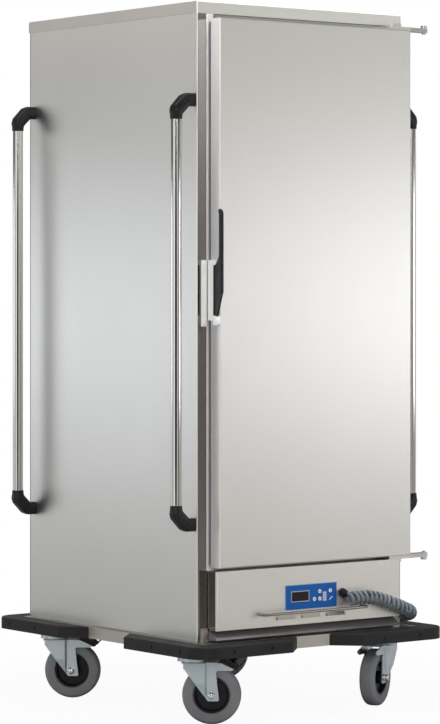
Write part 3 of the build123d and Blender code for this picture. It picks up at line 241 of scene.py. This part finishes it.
# Dark and light tone, roughness, then grain, its depth and gloss
mouldings = {
    "black_plastic": ((0.008, 0.007, 0.010), (0.014, 0.013, 0.017), 0.30, 900, 6e-5, 0.30),
    "black_rubber": ((0.011, 0.011, 0.013), (0.020, 0.020, 0.023), 0.55, 500, 1e-4, 0.3),
    "tyre_rubber": ((0.250, 0.265, 0.290), (0.305, 0.320, 0.350), 0.62, 600, 6e-5, 0.3),
    "grey_rubber": ((0.06, 0.06, 0.065), (0.09, 0.09, 0.095), 0.6),
    "cord_rubber": ((0.135, 0.160, 0.195), (0.195, 0.225, 0.265), 0.22, 1200, 2e-5, 0.9),
    "blue_film": ((0.003, 0.098, 0.40), (0.004, 0.112, 0.44), 0.36, 1500, 2e-5, 0.25),
    # A pale blue painted highlight for the membrane's bevelled edge.
    "edge_painted_highlight": ((0.30, 0.46, 0.70), (0.38, 0.54, 0.78), 0.4, 1500, 1e-5, 0.3),
    "window_film": ((0.012, 0.010, 0.010), (0.020, 0.017, 0.016), 0.14, 1500, 1e-5, 0.3),
    "white_print": ((0.78, 0.80, 0.84), (0.86, 0.88, 0.92), 0.4, 1500, 1e-5),
    "pale_print": ((0.50, 0.48, 0.58), (0.60, 0.56, 0.66), 0.4, 1500, 1e-5),
    "foam": ((0.72, 0.66, 0.44), (0.82, 0.76, 0.55), 0.85, 300, 4e-4),
    "motor_paint": ((0.09, 0.095, 0.10), (0.13, 0.135, 0.14), 0.45),
}
materials = {name: brushed(name, *row) for name, row in metals.items()}
materials.update({name: moulded(name, *row) for name, row in mouldings.items()})

# Painted light and shade on the sheets' faces. The faces that look to the front from the side
# panels, and left from the control cover, get a darker tone as painted shade. The faces that look
# to both sides from the door, and to the front from the roof, get a lighter tone as painted light.
# Every bend of these sheets gets a near-white painted highlight.
paint_fold_light_and_shade(materials["side_steel"], "Y", False, (0.25, 0.233, 0.224), (0.30, 0.280, 0.268), 0.10, 0.13)
paint_fold_light_and_shade(materials["door_sheet"], "X", True, (0.84, 0.85, 0.89), (0.90, 0.91, 0.95), 0.24, 0.27, 0.45)
paint_fold_light_and_shade(materials["fascia_steel"], "X", False, (0.34, 0.32, 0.31), (0.40, 0.38, 0.36), 0.12, 0.18)
paint_fold_light_and_shade(materials["roof_steel"], "Y", False, (0.88, 0.87, 0.84), (0.93, 0.92, 0.89), 0.32, 0.42)

# Painted light: the frame's outer edges beside the door get a near-white tone; its inner part
# keeps the darker steel tone.
frame_edge_painted_light = axis_mask(materials["frame_steel"].node_tree, "Object", "X", True, 0.285, 0.290)
masked(materials["frame_steel"], frame_edge_painted_light, (0.84, 0.84, 0.88), (0.90, 0.90, 0.94),
       0.18, 0.26, 0.3)

finishes = {
    "side_panel_left": "side_steel", "side_panel_right": "side_steel", "back_panel": "side_steel",
    "roof_cap": "roof_steel", "door_frame": "frame_steel", "inner_liner": "inner_steel",
    "insulation": "foam", "rack_left": "inner_steel", "rack_right": "inner_steel",
    "base_pan": "rail_steel", "chassis_frame": "rail_steel", "skirt_plate": "skirt_painted_shade",
    "corner_bumpers": "black_rubber", "bumper_screws": "dark_screw", "handle_tubes": "tube_steel",
    "hinge_brackets": "door_steel", "hinge_arms": "door_steel", "latch_strike": "chrome_painted_reflection",
    "latch_case": "chrome_painted_reflection", "latch_lever": "black_plastic", "door_skin": "door_sheet",
    "door_inner_pan": "inner_steel", "door_foam": "foam", "door_gasket": "grey_rubber",
    "control_fascia": "fascia_steel", "control_membrane": "blue_film",
    "display_window": "window_film", "controller_box": "black_plastic",
    "key_set": "white_print", "key_down": "white_print", "key_up": "white_print",
    "key_power": "white_print", "guard_bar": "guard_steel", "mains_plug": "black_plastic",
    "heater_well": "inner_steel", "heating_element": "dark_sheet", "fan_motor": "motor_paint",
    "fan_impeller": "cast_alloy", "fan_grille": "inner_steel", "water_tray": "inner_steel",
    "castor_plates": "zinc", "castor_bolts": "zinc",
    **for_corners("castor_fork_", all_corners, "zinc"),
    **for_corners("castor_rim_", all_corners, "black_plastic"),
    **for_corners("castor_tyre_", all_corners, "tyre_rubber"),
    **for_corners("brake_pedal_", braked_corners, "black_plastic"),
}
for name, finish in finishes.items():
    nodes[name].data.materials.clear()
    nodes[name].data.materials.append(materials[finish])


# Soft edges, as folded sheet and mouldings have them
def soften(piece, width):
    """Rounds the sharp edges of a piece."""
    bevel = piece.modifiers.new("soft_edge", "BEVEL")
    bevel.width = width
    bevel.segments = 2
    bevel.limit_method = "ANGLE"
    bevel.angle_limit = math.radians(40)


soft_edges = {
    "side_panel_left": 0.0026, "side_panel_right": 0.0026, "door_skin": 0.0006,
    "control_fascia": 0.0006, "corner_bumpers": 0.0022, "chassis_frame": 0.0020,
    "latch_case": 0.0006, "latch_lever": 0.0009, "latch_strike": 0.0004,
    "castor_plates": 0.0008, "mains_plug": 0.0012, "skirt_plate": 0.0008,
    "hinge_arms": 0.0006, "hinge_brackets": 0.0006,
    **for_corners("castor_fork_", all_corners, 0.0009),
    **for_corners("brake_pedal_", braked_corners, 0.0006),
}
for name, width in soft_edges.items():
    soften(nodes[name], width)


# Curly mains cord. The route's points are the ones that the wire's solid in the CAD follows.
wire_radius = 0.00425
curl_radius = 0.01425
curl_pitch = 0.0155
steps_per_curl = 16
lead_in = 0.0085
gland_x = 0.1045
gland_z = 0.309
gland_seat = -0.037
gland_mouth = -0.051
bumper_top = 0.209
side_lane = half_width + 0.0225
curl_floor = bumper_top + curl_radius + wire_radius + 0.0004
# Along the panel and round the right corner: from the cabinet's left side, its front and the floor
panel_stretch = [
    (0.470, -0.060, 0.2965), (0.505, -0.061, 0.2965), (0.540, -0.061, 0.290),
    (0.575, -0.061, 0.278), (0.610, -0.060, 0.266), (0.640, -0.055, 0.255),
    (0.664, -0.041, 0.246), (0.682, -0.018, 0.239),
]
curl_route = [at(gland_x + 0.002, -0.0595, gland_z - curl_radius)]
curl_route += [at(x - half_width, y, z) for x, y, z in panel_stretch]
curl_route += [at(side_lane, 0.010, curl_floor + 0.005), at(side_lane, 0.050, curl_floor),
               at(side_lane, 0.110, curl_floor)]


def nurbs_curve(name, points, resolution, thickness=0.0):
    """A smooth open curve with these control points, and a round section if it has a thickness."""
    data = bpy.data.curves.new(name, "CURVE")
    data.dimensions = "3D"
    data.bevel_depth = thickness
    data.bevel_resolution = 5
    data.resolution_u = resolution
    spline = data.splines.new("NURBS")
    spline.points.add(len(points) - 1)
    for place, point in zip(spline.points, points):
        place.co = (*point, 1)
    spline.order_u = 3
    spline.use_endpoint_u = True
    piece = bpy.data.objects.new(name, data)
    bpy.context.collection.objects.link(piece)
    return piece


def line_of(points):
    """Points along the smooth line that these control points make, with the length up to each."""
    guide = nurbs_curve("guide", points, 24)
    mesh = bpy.data.meshes.new_from_object(guide)
    line = [vertex.co.copy() for vertex in mesh.vertices]
    bpy.data.objects.remove(guide)
    bpy.data.meshes.remove(mesh)
    if (line[0] - points[0]).length > (line[-1] - points[0]).length:
        line.reverse()
    reached = [0.0]
    for before, after in zip(line, line[1:]):
        reached.append(reached[-1] + (after - before).length)
    return line, reached


def place_on(line, reached, distance):
    """The point and the direction at a distance along a line."""
    index = 1
    while index < len(reached) - 1 and reached[index] < distance:
        index += 1
    before, after = line[index - 1], line[index]
    share = (distance - reached[index - 1]) / (reached[index] - reached[index - 1])
    return before.lerp(after, share), (after - before).normalized()


def uneven(turn, angle):
    """A curl's radius and how far the wire leans along the cord; both vary slightly."""
    radius = curl_radius * (1 + 0.022 * math.sin(turn * 2.3) + 0.013 * math.sin(turn * 5.1))
    lean = min(1.0, turn) * (0.0016 + 0.0014 * math.sin(turn * 1.7))
    return radius, lean * math.sin(angle + turn * 0.35)


def curled_points():
    """The lead-in from the gland, and the helix round the route."""
    line, reached = line_of(curl_route)
    turns = int(reached[-1] / curl_pitch * 2) / 2
    points = [at(gland_x, gland_mouth, gland_z), at(gland_x, gland_mouth - lead_in * 0.6, gland_z)]
    for index in range(int(turns * steps_per_curl) + 1):
        turn = index / steps_per_curl
        middle, along = place_on(line, reached, turn * curl_pitch)
        side = along.cross(Vector((0, 0, 1))).normalized()
        up = side.cross(along).normalized()
        angle = turn * 2 * math.pi
        radius, lean = uneven(turn, angle)
        points.append(middle + up * (radius * math.cos(angle)) + side * (radius * math.sin(angle))
                      + along * lean)
    return points


plug_low, plug_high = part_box("mains_plug")


def before_plug(distance):
    """A point on the plug's axis, at a distance in front of its mouth."""
    return Vector(((plug_low[0] + plug_high[0]) / 2, plug_low[1] - distance,
                   (plug_low[2] + plug_high[2]) / 2))


wire_points = curled_points()
wire_points += [wire_points[-1].lerp(before_plug(0), 0.30) + Vector((0, 0, 0.002)),
                before_plug(0.016), before_plug(0.008), before_plug(0)]
cord = nurbs_curve("curly_mains_cord", wire_points, 8, wire_radius)
cord.data.materials.append(materials["cord_rubber"])
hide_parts("curly_cord")
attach(cord, "cabinet")


# Pieces made here
def new_piece(name, make_shape, finish, body):
    """A mesh piece in place, which rides on a body and takes a slot's finish."""
    shape = bmesh.new()
    make_shape(shape)
    bmesh.ops.recalc_face_normals(shape, faces=shape.faces)
    mesh = bpy.data.meshes.new(name)
    shape.normal_update()
    shape.to_mesh(mesh)
    shape.free()
    mesh.materials.append(materials[finish])
    piece = bpy.data.objects.new(name, mesh)
    bpy.context.collection.objects.link(piece)
    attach(piece, body)
    return piece


def smooth(piece, angle):
    """Shades a piece smoothly, apart from edges that are sharper than an angle in degrees."""
    for face in piece.data.polygons:
        face.use_smooth = True
    piece.data.set_sharp_from_angle(angle=math.radians(angle))


def ring_walls(shape, rings, close_ends=True):
    """Joins rings of points, one after another, into a skin."""
    made = [[shape.verts.new(point) for point in ring] for ring in rings]
    for before, after in zip(made, made[1:]):
        for index in range(len(before)):
            following = (index + 1) % len(before)
            shape.faces.new((before[index], before[following], after[following], after[index]))
    if close_ends:
        shape.faces.new(list(reversed(made[0])))
        shape.faces.new(made[-1])


def thick_outline(shape, outline, depth):
    """A flat outline of points, thickened along a vector."""
    ring_walls(shape, [outline, [point + depth for point in outline]])


def round_angles(count):
    """This many angles, evenly round a circle."""
    return [step * 2 * math.pi / count for step in range(count)]


def rounded_section(width, height, corner):
    """Points round a rectangle whose corners are rounded."""
    points = []
    steps = 6
    for side, top, start in ((1, 1, 0), (-1, 1, 90), (-1, -1, 180), (1, -1, 270)):
        for step in range(steps + 1):
            angle = math.radians(start + 90 * step / steps)
            points.append((side * (width / 2 - corner) + corner * math.cos(angle),
                           top * (height / 2 - corner) + corner * math.sin(angle)))
    return points


# The handles' moulded elbows: out from the wall, down at half a right angle, and round the tube.
# A station is a distance out, a rise, the section's turn in degrees, and its width, height and
# corner radius.
handle_low = 0.485
handle_high = 1.5755
handle_middle = (handle_low + handle_high) / 2
handle_places = (0.018, 0.731)
elbow_top = handle_high - 0.033 / 2
mitre = 11.25
elbow_stations = [
    (0.0, 0.0, 0.0, (0.031, 0.033, 0.009)),
    (0.0200, 0.0, mitre, (0.031, 0.033, 0.009)),
    (0.0268, -0.0028, 3 * mitre, (0.031, 0.033, 0.009)),
    (0.0487, -0.0247, 5 * mitre, (0.031, 0.033, 0.010)),
    (0.0515, -0.0315, 7 * mitre, (0.031, 0.0325, 0.012)),
    (0.0515, -0.0400, 90.0, (0.031, 0.031, 0.0150)),
    (0.0515, -0.0480, 90.0, (0.0305, 0.0305, 0.01520)),
    (0.0515, -0.0494, 90.0, (0.0290, 0.0290, 0.01448)),
]
# The radius and the depth of each ring of the cap over an elbow's fixing screw
screw_cap = ((0.0062, 0.0150), (0.0062, 0.0160), (0.0052, 0.0164), (0.0030, 0.0165))


def elbow_shape(shape, side, y, flip):
    """One elbow with its cap; flip is 1 for an upper one and -1 for a lower one."""
    rings = []
    for out, up, turn, section in elbow_stations:
        tilt = math.radians(turn)
        stretch = 1 / math.cos(math.radians(mitre)) if turn % 90 else 1.0
        ring = []
        for across, rise in rounded_section(*section):
            x = out + rise * stretch * math.sin(tilt)
            z = elbow_top + up + rise * stretch * math.cos(tilt)
            z = handle_middle + flip * (z - handle_middle)
            ring.append(at(side * (half_width + x), y + across, z))
        rings.append(ring)
    ring_walls(shape, rings)
    x = side * (half_width + 0.022)
    z = handle_middle + flip * (elbow_top - 0.003 - handle_middle)
    ring_walls(shape, [[at(x + radius * math.cos(angle), y - depth, z + radius * math.sin(angle))
                        for angle in round_angles(20)] for radius, depth in screw_cap])


def all_elbows(shape):
    """Both elbows of all four handles."""
    for side in (-1, 1):
        for y in handle_places:
            for flip in (-1, 1):
                elbow_shape(shape, side, y, flip)


elbows = new_piece("handle_elbows_formed", all_elbows, "black_plastic", "cabinet")
smooth(elbows, 18)
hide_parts("handle_elbows")


# The roof's folded edge laps over the sides and the back
hem_low = 1.7754
hem_height = 0.0290
hem_front = 0.0006
hem_out = half_width + 0.0013
cabinet_back = 0.753
hem_back = cabinet_back + 0.0013


def roof_hem_shape(shape):
    """A strip round three sides of the roof."""
    outline = [(-half_width, hem_front), (-hem_out, hem_front), (-hem_out, hem_back),
               (hem_out, hem_back), (hem_out, hem_front), (half_width, hem_front),
               (half_width, cabinet_back), (-half_width, cabinet_back)]
    thick_outline(shape, [at(x, y, hem_low) for x, y in outline], Vector((0, 0, hem_height)))


roof_hem = new_piece("roof_hem", roof_hem_shape, "roof_steel", "cabinet")
soften(roof_hem, 0.0005)


# The tapered sleeve of the lead: nut, dome and ribbed taper in one moulding
nut_rings = [(0.0, 0.0128), (0.0062, 0.0128), (0.0070, 0.0118)]
sleeve_rings = [
    (0.0071, 0.0108), (0.0105, 0.0104), (0.0122, 0.0086), (0.0130, 0.0080), (0.0138, 0.0084),
    (0.0150, 0.0076), (0.0158, 0.0070), (0.0166, 0.0074), (0.0178, 0.0067), (0.0186, 0.0062),
    (0.0194, 0.0065), (0.0206, 0.0058), (0.0218, 0.0054), (0.0225, 0.0047),
]
flat_half = math.pi / 6


def hexagon(angle):
    """How far a hexagon reaches at an angle, as a share of its corners' radius."""
    return math.cos(flat_half) / math.cos((angle + flat_half) % (2 * flat_half) - flat_half)


def sleeve_shape(shape):
    """Rings out from the panel, each with its depth and radius; the nut's are hexagons."""
    rings = []
    for depth, radius in nut_rings + sleeve_rings:
        ring = []
        for angle in round_angles(24):
            reach = radius * hexagon(angle) if (depth, radius) in nut_rings else radius
            ring.append(at(gland_x + reach * math.cos(angle), gland_seat - depth,
                           gland_z + reach * math.sin(angle)))
        rings.append(ring)
    ring_walls(shape, rings)


sleeve = new_piece("gland_and_sleeve", sleeve_shape, "black_plastic", "cabinet")
smooth(sleeve, 30)
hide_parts("cable_gland")


# What each castor carries: domed caps on its axle's ends, and on a braked one the pedal's cheeks.
# A castor's place is that of its king pin, with its heading in degrees.
pin_x = half_width - 0.022
front_pin_y = 0.050
rear_pin_y = 0.664
castor_places = {
    "front_left": (-pin_x, front_pin_y, -39.5), "rear_left": (-pin_x, rear_pin_y, -44.0),
    "front_right": (pin_x, front_pin_y, 209.3), "rear_right": (pin_x, rear_pin_y, 142.8),
}
fork_side = 0.0265
trail = 0.049
axle_height = 0.074
axle_cap = ((0.0017, 0.0090), (0.0027, 0.0090), (0.0030, 0.0084), (0.0072, 0.0083),
            (0.0090, 0.0076), (0.0103, 0.0059), (0.0109, 0.0034), (0.0111, 0.0010))
cheek_out = 0.0012
cheek_thickness = 0.0016
cheek_line = [(0.0720, 0.1560), (0.0900, 0.1478), (0.1075, 0.1392), (0.1120, 0.1388),
              (0.1150, 0.1410), (0.1120, 0.1480), (0.0990, 0.1570), (0.0850, 0.1630),
              (0.0740, 0.1640)]


def castor_point(corner, ahead, beside, z):
    """A place from a castor's king pin, along its heading, beside it and above the floor."""
    x, y, heading = castor_places[corner]
    turn = math.radians(heading)
    return at(x + ahead * math.cos(turn) - beside * math.sin(turn),
              y + ahead * math.sin(turn) + beside * math.cos(turn), z)


def axle_caps_shape(corner):
    """A maker of both caps of a castor's axle."""
    def make(shape):
        for side in (-1, 1):
            ring_walls(shape, [[castor_point(corner, trail + radius * math.cos(angle),
                                             side * (fork_side + out),
                                             axle_height + radius * math.sin(angle))
                                for angle in round_angles(28)] for out, radius in axle_cap])
    return make


def cheeks_shape(corner):
    """A maker of both cheeks of a brake pedal."""
    def make(shape):
        for side in (-1, 1):
            outline = [castor_point(corner, ahead, side * (fork_side + cheek_out), z)
                       for ahead, z in cheek_line]
            outwards = (castor_point(corner, 0, side * cheek_thickness, 0)
                        - castor_point(corner, 0, 0, 0))
            thick_outline(shape, outline, outwards)
    return make


for corner in all_corners:
    caps = new_piece("axle_caps_" + corner, axle_caps_shape(corner), "polished",
                     "castor_" + corner)
    smooth(caps, 40)
for corner in braked_corners:
    cheeks = new_piece("pedal_cheeks_" + corner, cheeks_shape(corner), "black_plastic",
                       "pedal_" + corner)
    soften(cheeks, 0.0004)


# On the control membrane: a painted highlight of its bevel, as a pale blue strip along the left
# and top edges, and prints: a frame round the window, a lamp bar and plain marks
film_y = -0.0378
key_y = -0.0388
film_left, film_right, film_low, film_high = -0.0825, 0.0851, 0.276, 0.339
window_left, window_right, window_low, window_high = -0.0622, -0.0074, 0.2967, 0.3208
lamp_left, lamp_right, lamp_low, lamp_high = 0.0395, 0.0515, 0.2925, 0.3165
lamp_parts = 4
lamp_gap = 0.0004
print_depth = 0.0003
edge_width = 0.0016


def print_shape(outline, proud=print_depth, y=film_y):
    """A maker of a thin raised print, from an outline in x and z."""
    def make(shape):
        thick_outline(shape, [at(x, y, z) for x, z in outline], Vector((0, -proud, 0)))
    return make


def window_frame_shape(shape):
    """A thin raised frame round the window."""
    width, proud = 0.0016, 0.0009
    corners = ((window_left, window_low, -1, -1), (window_right, window_low, 1, -1),
               (window_right, window_high, 1, 1), (window_left, window_high, -1, 1))
    loops = [[at(x + across * grow, film_y - depth, z + up * grow) for x, z, across, up in corners]
             for grow, depth in ((0, 0), (0, proud), (width, proud), (width, 0))]
    ring_walls(shape, loops, close_ends=False)


def lamp_bar_shape(shape):
    """A pale upright bar with three fine gaps, as a level lamp has."""
    step = (lamp_high - lamp_low) / lamp_parts
    for index in range(lamp_parts):
        low = lamp_low + index * step + lamp_gap
        high = lamp_low + (index + 1) * step - lamp_gap
        print_shape([(lamp_left, low), (lamp_right, low), (lamp_right, high),
                     (lamp_left, high)])(shape)


# Painted highlight: a pale blue strip along the membrane's left and top edges only, where its bevel
# catches the light.
film_edge_highlight = new_piece("membrane_edge_painted_highlight", print_shape([
    (film_left, film_low), (film_left + edge_width, film_low),
    (film_left + edge_width, film_high - edge_width), (film_right, film_high - edge_width),
    (film_right, film_high), (film_left, film_high)], 0.0004),
    "edge_painted_highlight", "cabinet")
soften(film_edge_highlight, 0.00015)
window_frame = new_piece("window_frame", window_frame_shape, "pale_print", "cabinet")
soften(window_frame, 0.0002)
new_piece("lamp_bar", lamp_bar_shape, "pale_print", "cabinet")
new_piece("slash_mark", print_shape([
    (0.0610, 0.2948), (0.0626, 0.2942), (0.0690, 0.3004), (0.0716, 0.3002), (0.0722, 0.3020),
    (0.0700, 0.3032), (0.0680, 0.3018), (0.0612, 0.2962)]),
    "white_print", "cabinet")

key_marks = {
    "key_up": [(0.0268, 0.3168), (0.0320, 0.3168), (0.0294, 0.3205)],
    "key_down": [(0.0268, 0.3004), (0.0294, 0.2967), (0.0320, 0.3004)],
    "key_set": [(0.0092, 0.2984), (0.0142, 0.2984), (0.0142, 0.3000), (0.0092, 0.3000)],
    "key_power": [(0.0633, 0.3158), (0.0647, 0.3158), (0.0647, 0.3208), (0.0633, 0.3208)],
}
for key, outline in key_marks.items():
    new_piece(key + "_mark", print_shape(outline, 0.0001, key_y), "blue_film", key)


# Stage: lights, a dark card, a pale floor and a white background
def area_light(name, place, target, width, height, power, colour=(1, 1, 1)):
    """A soft light that faces a target. It mirrors in the metal, but the camera doesn't see it."""
    data = bpy.data.lights.new(name, "AREA")
    data.shape = "RECTANGLE"
    data.size = width
    data.size_y = height
    data.energy = power
    data.color = colour
    light = bpy.data.objects.new(name, data)
    light.location = place
    light.rotation_euler = (Vector(target) - Vector(place)).to_track_quat("-Z", "Y").to_euler()
    light.visible_camera = False
    bpy.context.collection.objects.link(light)
    return light


# Bands at three heights mirror in the door and in the side: bright in the middle, softer past it.
area_light("front_band_l", (1.99, -4.18, 1.05), (0.1, -0.36, 1.05), 1.55, 0.9, 4.7,
           (0.973, 0.940, 1.0))
area_light("front_band_r", (3.21, -3.22, 1.05), (0.1, -0.36, 1.05), 1.85, 0.9, 14.6,
           (0.954, 0.969, 1.0))
area_light("front_high", (2.6, -3.7, 2.6), (0.1, -0.36, 1.3), 3.4, 0.9, 7.8, (0.97, 1.0, 0.90))
area_light("side_band", (-3.3, 3.4, 1.05), (-0.34, 0.0, 1.05), 3.4, 0.9, 15.0,
           (0.943, 0.958, 1.0))
area_light("side_high", (-3.3, 3.4, 2.6), (-0.34, 0.0, 1.3), 3.4, 0.9, 11.3, (1.0, 0.95, 0.885))
area_light("front_low", (2.5, -3.6, 0.28), (0.1, -0.36, 0.35), 3.4, 0.5, 1.3, (1.0, 0.98, 0.95))
area_light("side_low", (-3.3, 3.4, 0.35), (-0.34, 0.0, 0.6), 3.4, 0.5, 4.3)
# The light from above doesn't mirror, and a weak one over it does, so the roof keeps its tone.
top_soft = area_light("top_soft", (-0.4, -0.8, 4.4), (0, 0, 0.8), 4.0, 4.0, 275,
                      (1.0, 0.955, 0.885))
top_soft.visible_glossy = False
area_light("top_sheen", (-0.2, -0.4, 4.6), (0, 0, 0.8), 4.6, 4.6, 58, (1.0, 0.97, 0.93))
area_light("back_band", (1.6, 5.2, 1.4), (0.3, 0.4, 1.0), 6.0, 3.2, 26)
area_light("left_strip", (-5.6, -1.1, 1.35), (-0.34, -0.2, 1.1), 2.6, 3.2, 28, (0.96, 0.98, 1.0))
area_light("near_strip", (-1.3, -6.3, 1.35), (-0.3, -0.36, 1.1), 1.3, 3.2, 11, (1.0, 0.95, 0.93))
area_light("corner_high", (-5.6, -7.4, 3.35), (-0.3, -0.36, 1.5), 3.6, 2.1, 125,
           (1.0, 0.98, 0.955))
area_light("right_card", (4.6, -0.7, 0.8), (0.0, -0.3, 0.4), 1.6, 2.2, 10)
area_light("flap_high", (2.4, -1.7, 3.4), (0.0, -0.39, 0.6), 1.6, 1.6, 3.5)


def stage_sheet(name, corners, tone, roughness):
    """A flat sheet of one grey tone that isn't part of the trolley."""
    material, tree, shader = make_material(name)
    shader.inputs["Base Color"].default_value = (tone, tone, tone, 1)
    shader.inputs["Roughness"].default_value = roughness
    mesh = bpy.data.meshes.new(name)
    mesh.from_pydata(corners, [], [(0, 1, 2, 3)])
    mesh.materials.append(material)
    sheet = bpy.data.objects.new(name, mesh)
    bpy.context.collection.objects.link(sheet)
    return sheet


# A wide dark card behind the camera keeps the corners that look back at it deep, as in the
# photograph.
card = stage_sheet("dark_card", [(-6.4, -5.5, -0.2), (-3.7, -7.6, -0.2), (-3.7, -7.6, 1.85),
                                 (-6.4, -5.5, 1.85)], 0.03, 0.9)
card.visible_camera = False
card.visible_shadow = False

# The floor is pale, and fades to plain white round the trolley, so that no horizon shows.
floor_reach = 30.0
floor = stage_sheet("floor", [
    (-floor_reach, -floor_reach, 0), (floor_reach, -floor_reach, 0),
    (floor_reach, floor_reach, 0), (-floor_reach, floor_reach, 0)], 0.36, 0.8)


def fade_out(material):
    """To the camera alone, the floor is nearly white, and plain white from 1.6 metres away."""
    tree = material.node_tree
    shader = tree.nodes["Principled BSDF"]
    shader.inputs["Specular IOR Level"].default_value = 0.2
    place = tree.nodes.new("ShaderNodeTexCoord")
    length = tree.nodes.new("ShaderNodeVectorMath")
    length.operation = "LENGTH"
    tree.links.new(place.outputs["Object"], length.inputs[0])
    fade = mapped(tree, length.outputs["Value"], 0.5, 1.6, 0.955, 1.0)
    fade.interpolation_type = "SMOOTHSTEP"
    rays = tree.nodes.new("ShaderNodeLightPath")
    seen = tree.nodes.new("ShaderNodeMath")
    seen.operation = "MULTIPLY"
    tree.links.new(fade.outputs["Result"], seen.inputs[0])
    tree.links.new(rays.outputs["Is Camera Ray"], seen.inputs[1])
    white = tree.nodes.new("ShaderNodeEmission")
    blend = tree.nodes.new("ShaderNodeMixShader")
    tree.links.new(seen.outputs["Value"], blend.inputs["Fac"])
    tree.links.new(shader.outputs["BSDF"], blend.inputs[1])
    tree.links.new(white.outputs["Emission"], blend.inputs[2])
    tree.links.new(blend.outputs["Shader"], tree.nodes["Material Output"].inputs["Surface"])


fade_out(floor.data.materials[0])

# The world: a weak warm light from all round, and plain white to the camera
world = bpy.data.worlds.new("studio")
bpy.context.scene.world = world
world.use_nodes = True
sky = world.node_tree
sky.nodes.clear()
output = sky.nodes.new("ShaderNodeOutputWorld")
blend = sky.nodes.new("ShaderNodeMixShader")
paths = sky.nodes.new("ShaderNodeLightPath")
room = sky.nodes.new("ShaderNodeBackground")
backdrop = sky.nodes.new("ShaderNodeBackground")
room.inputs["Color"].default_value = (1.0, 0.95, 0.86, 1)
room.inputs["Strength"].default_value = 0.12
backdrop.inputs["Color"].default_value = (1, 1, 1, 1)
backdrop.inputs["Strength"].default_value = 1.0
sky.links.new(paths.outputs["Is Camera Ray"], blend.inputs["Fac"])
sky.links.new(room.outputs["Background"], blend.inputs[1])
sky.links.new(backdrop.outputs["Background"], blend.inputs[2])
sky.links.new(blend.outputs["Shader"], output.inputs["Surface"])
bpy.context.scene.view_settings.view_transform = "Standard"
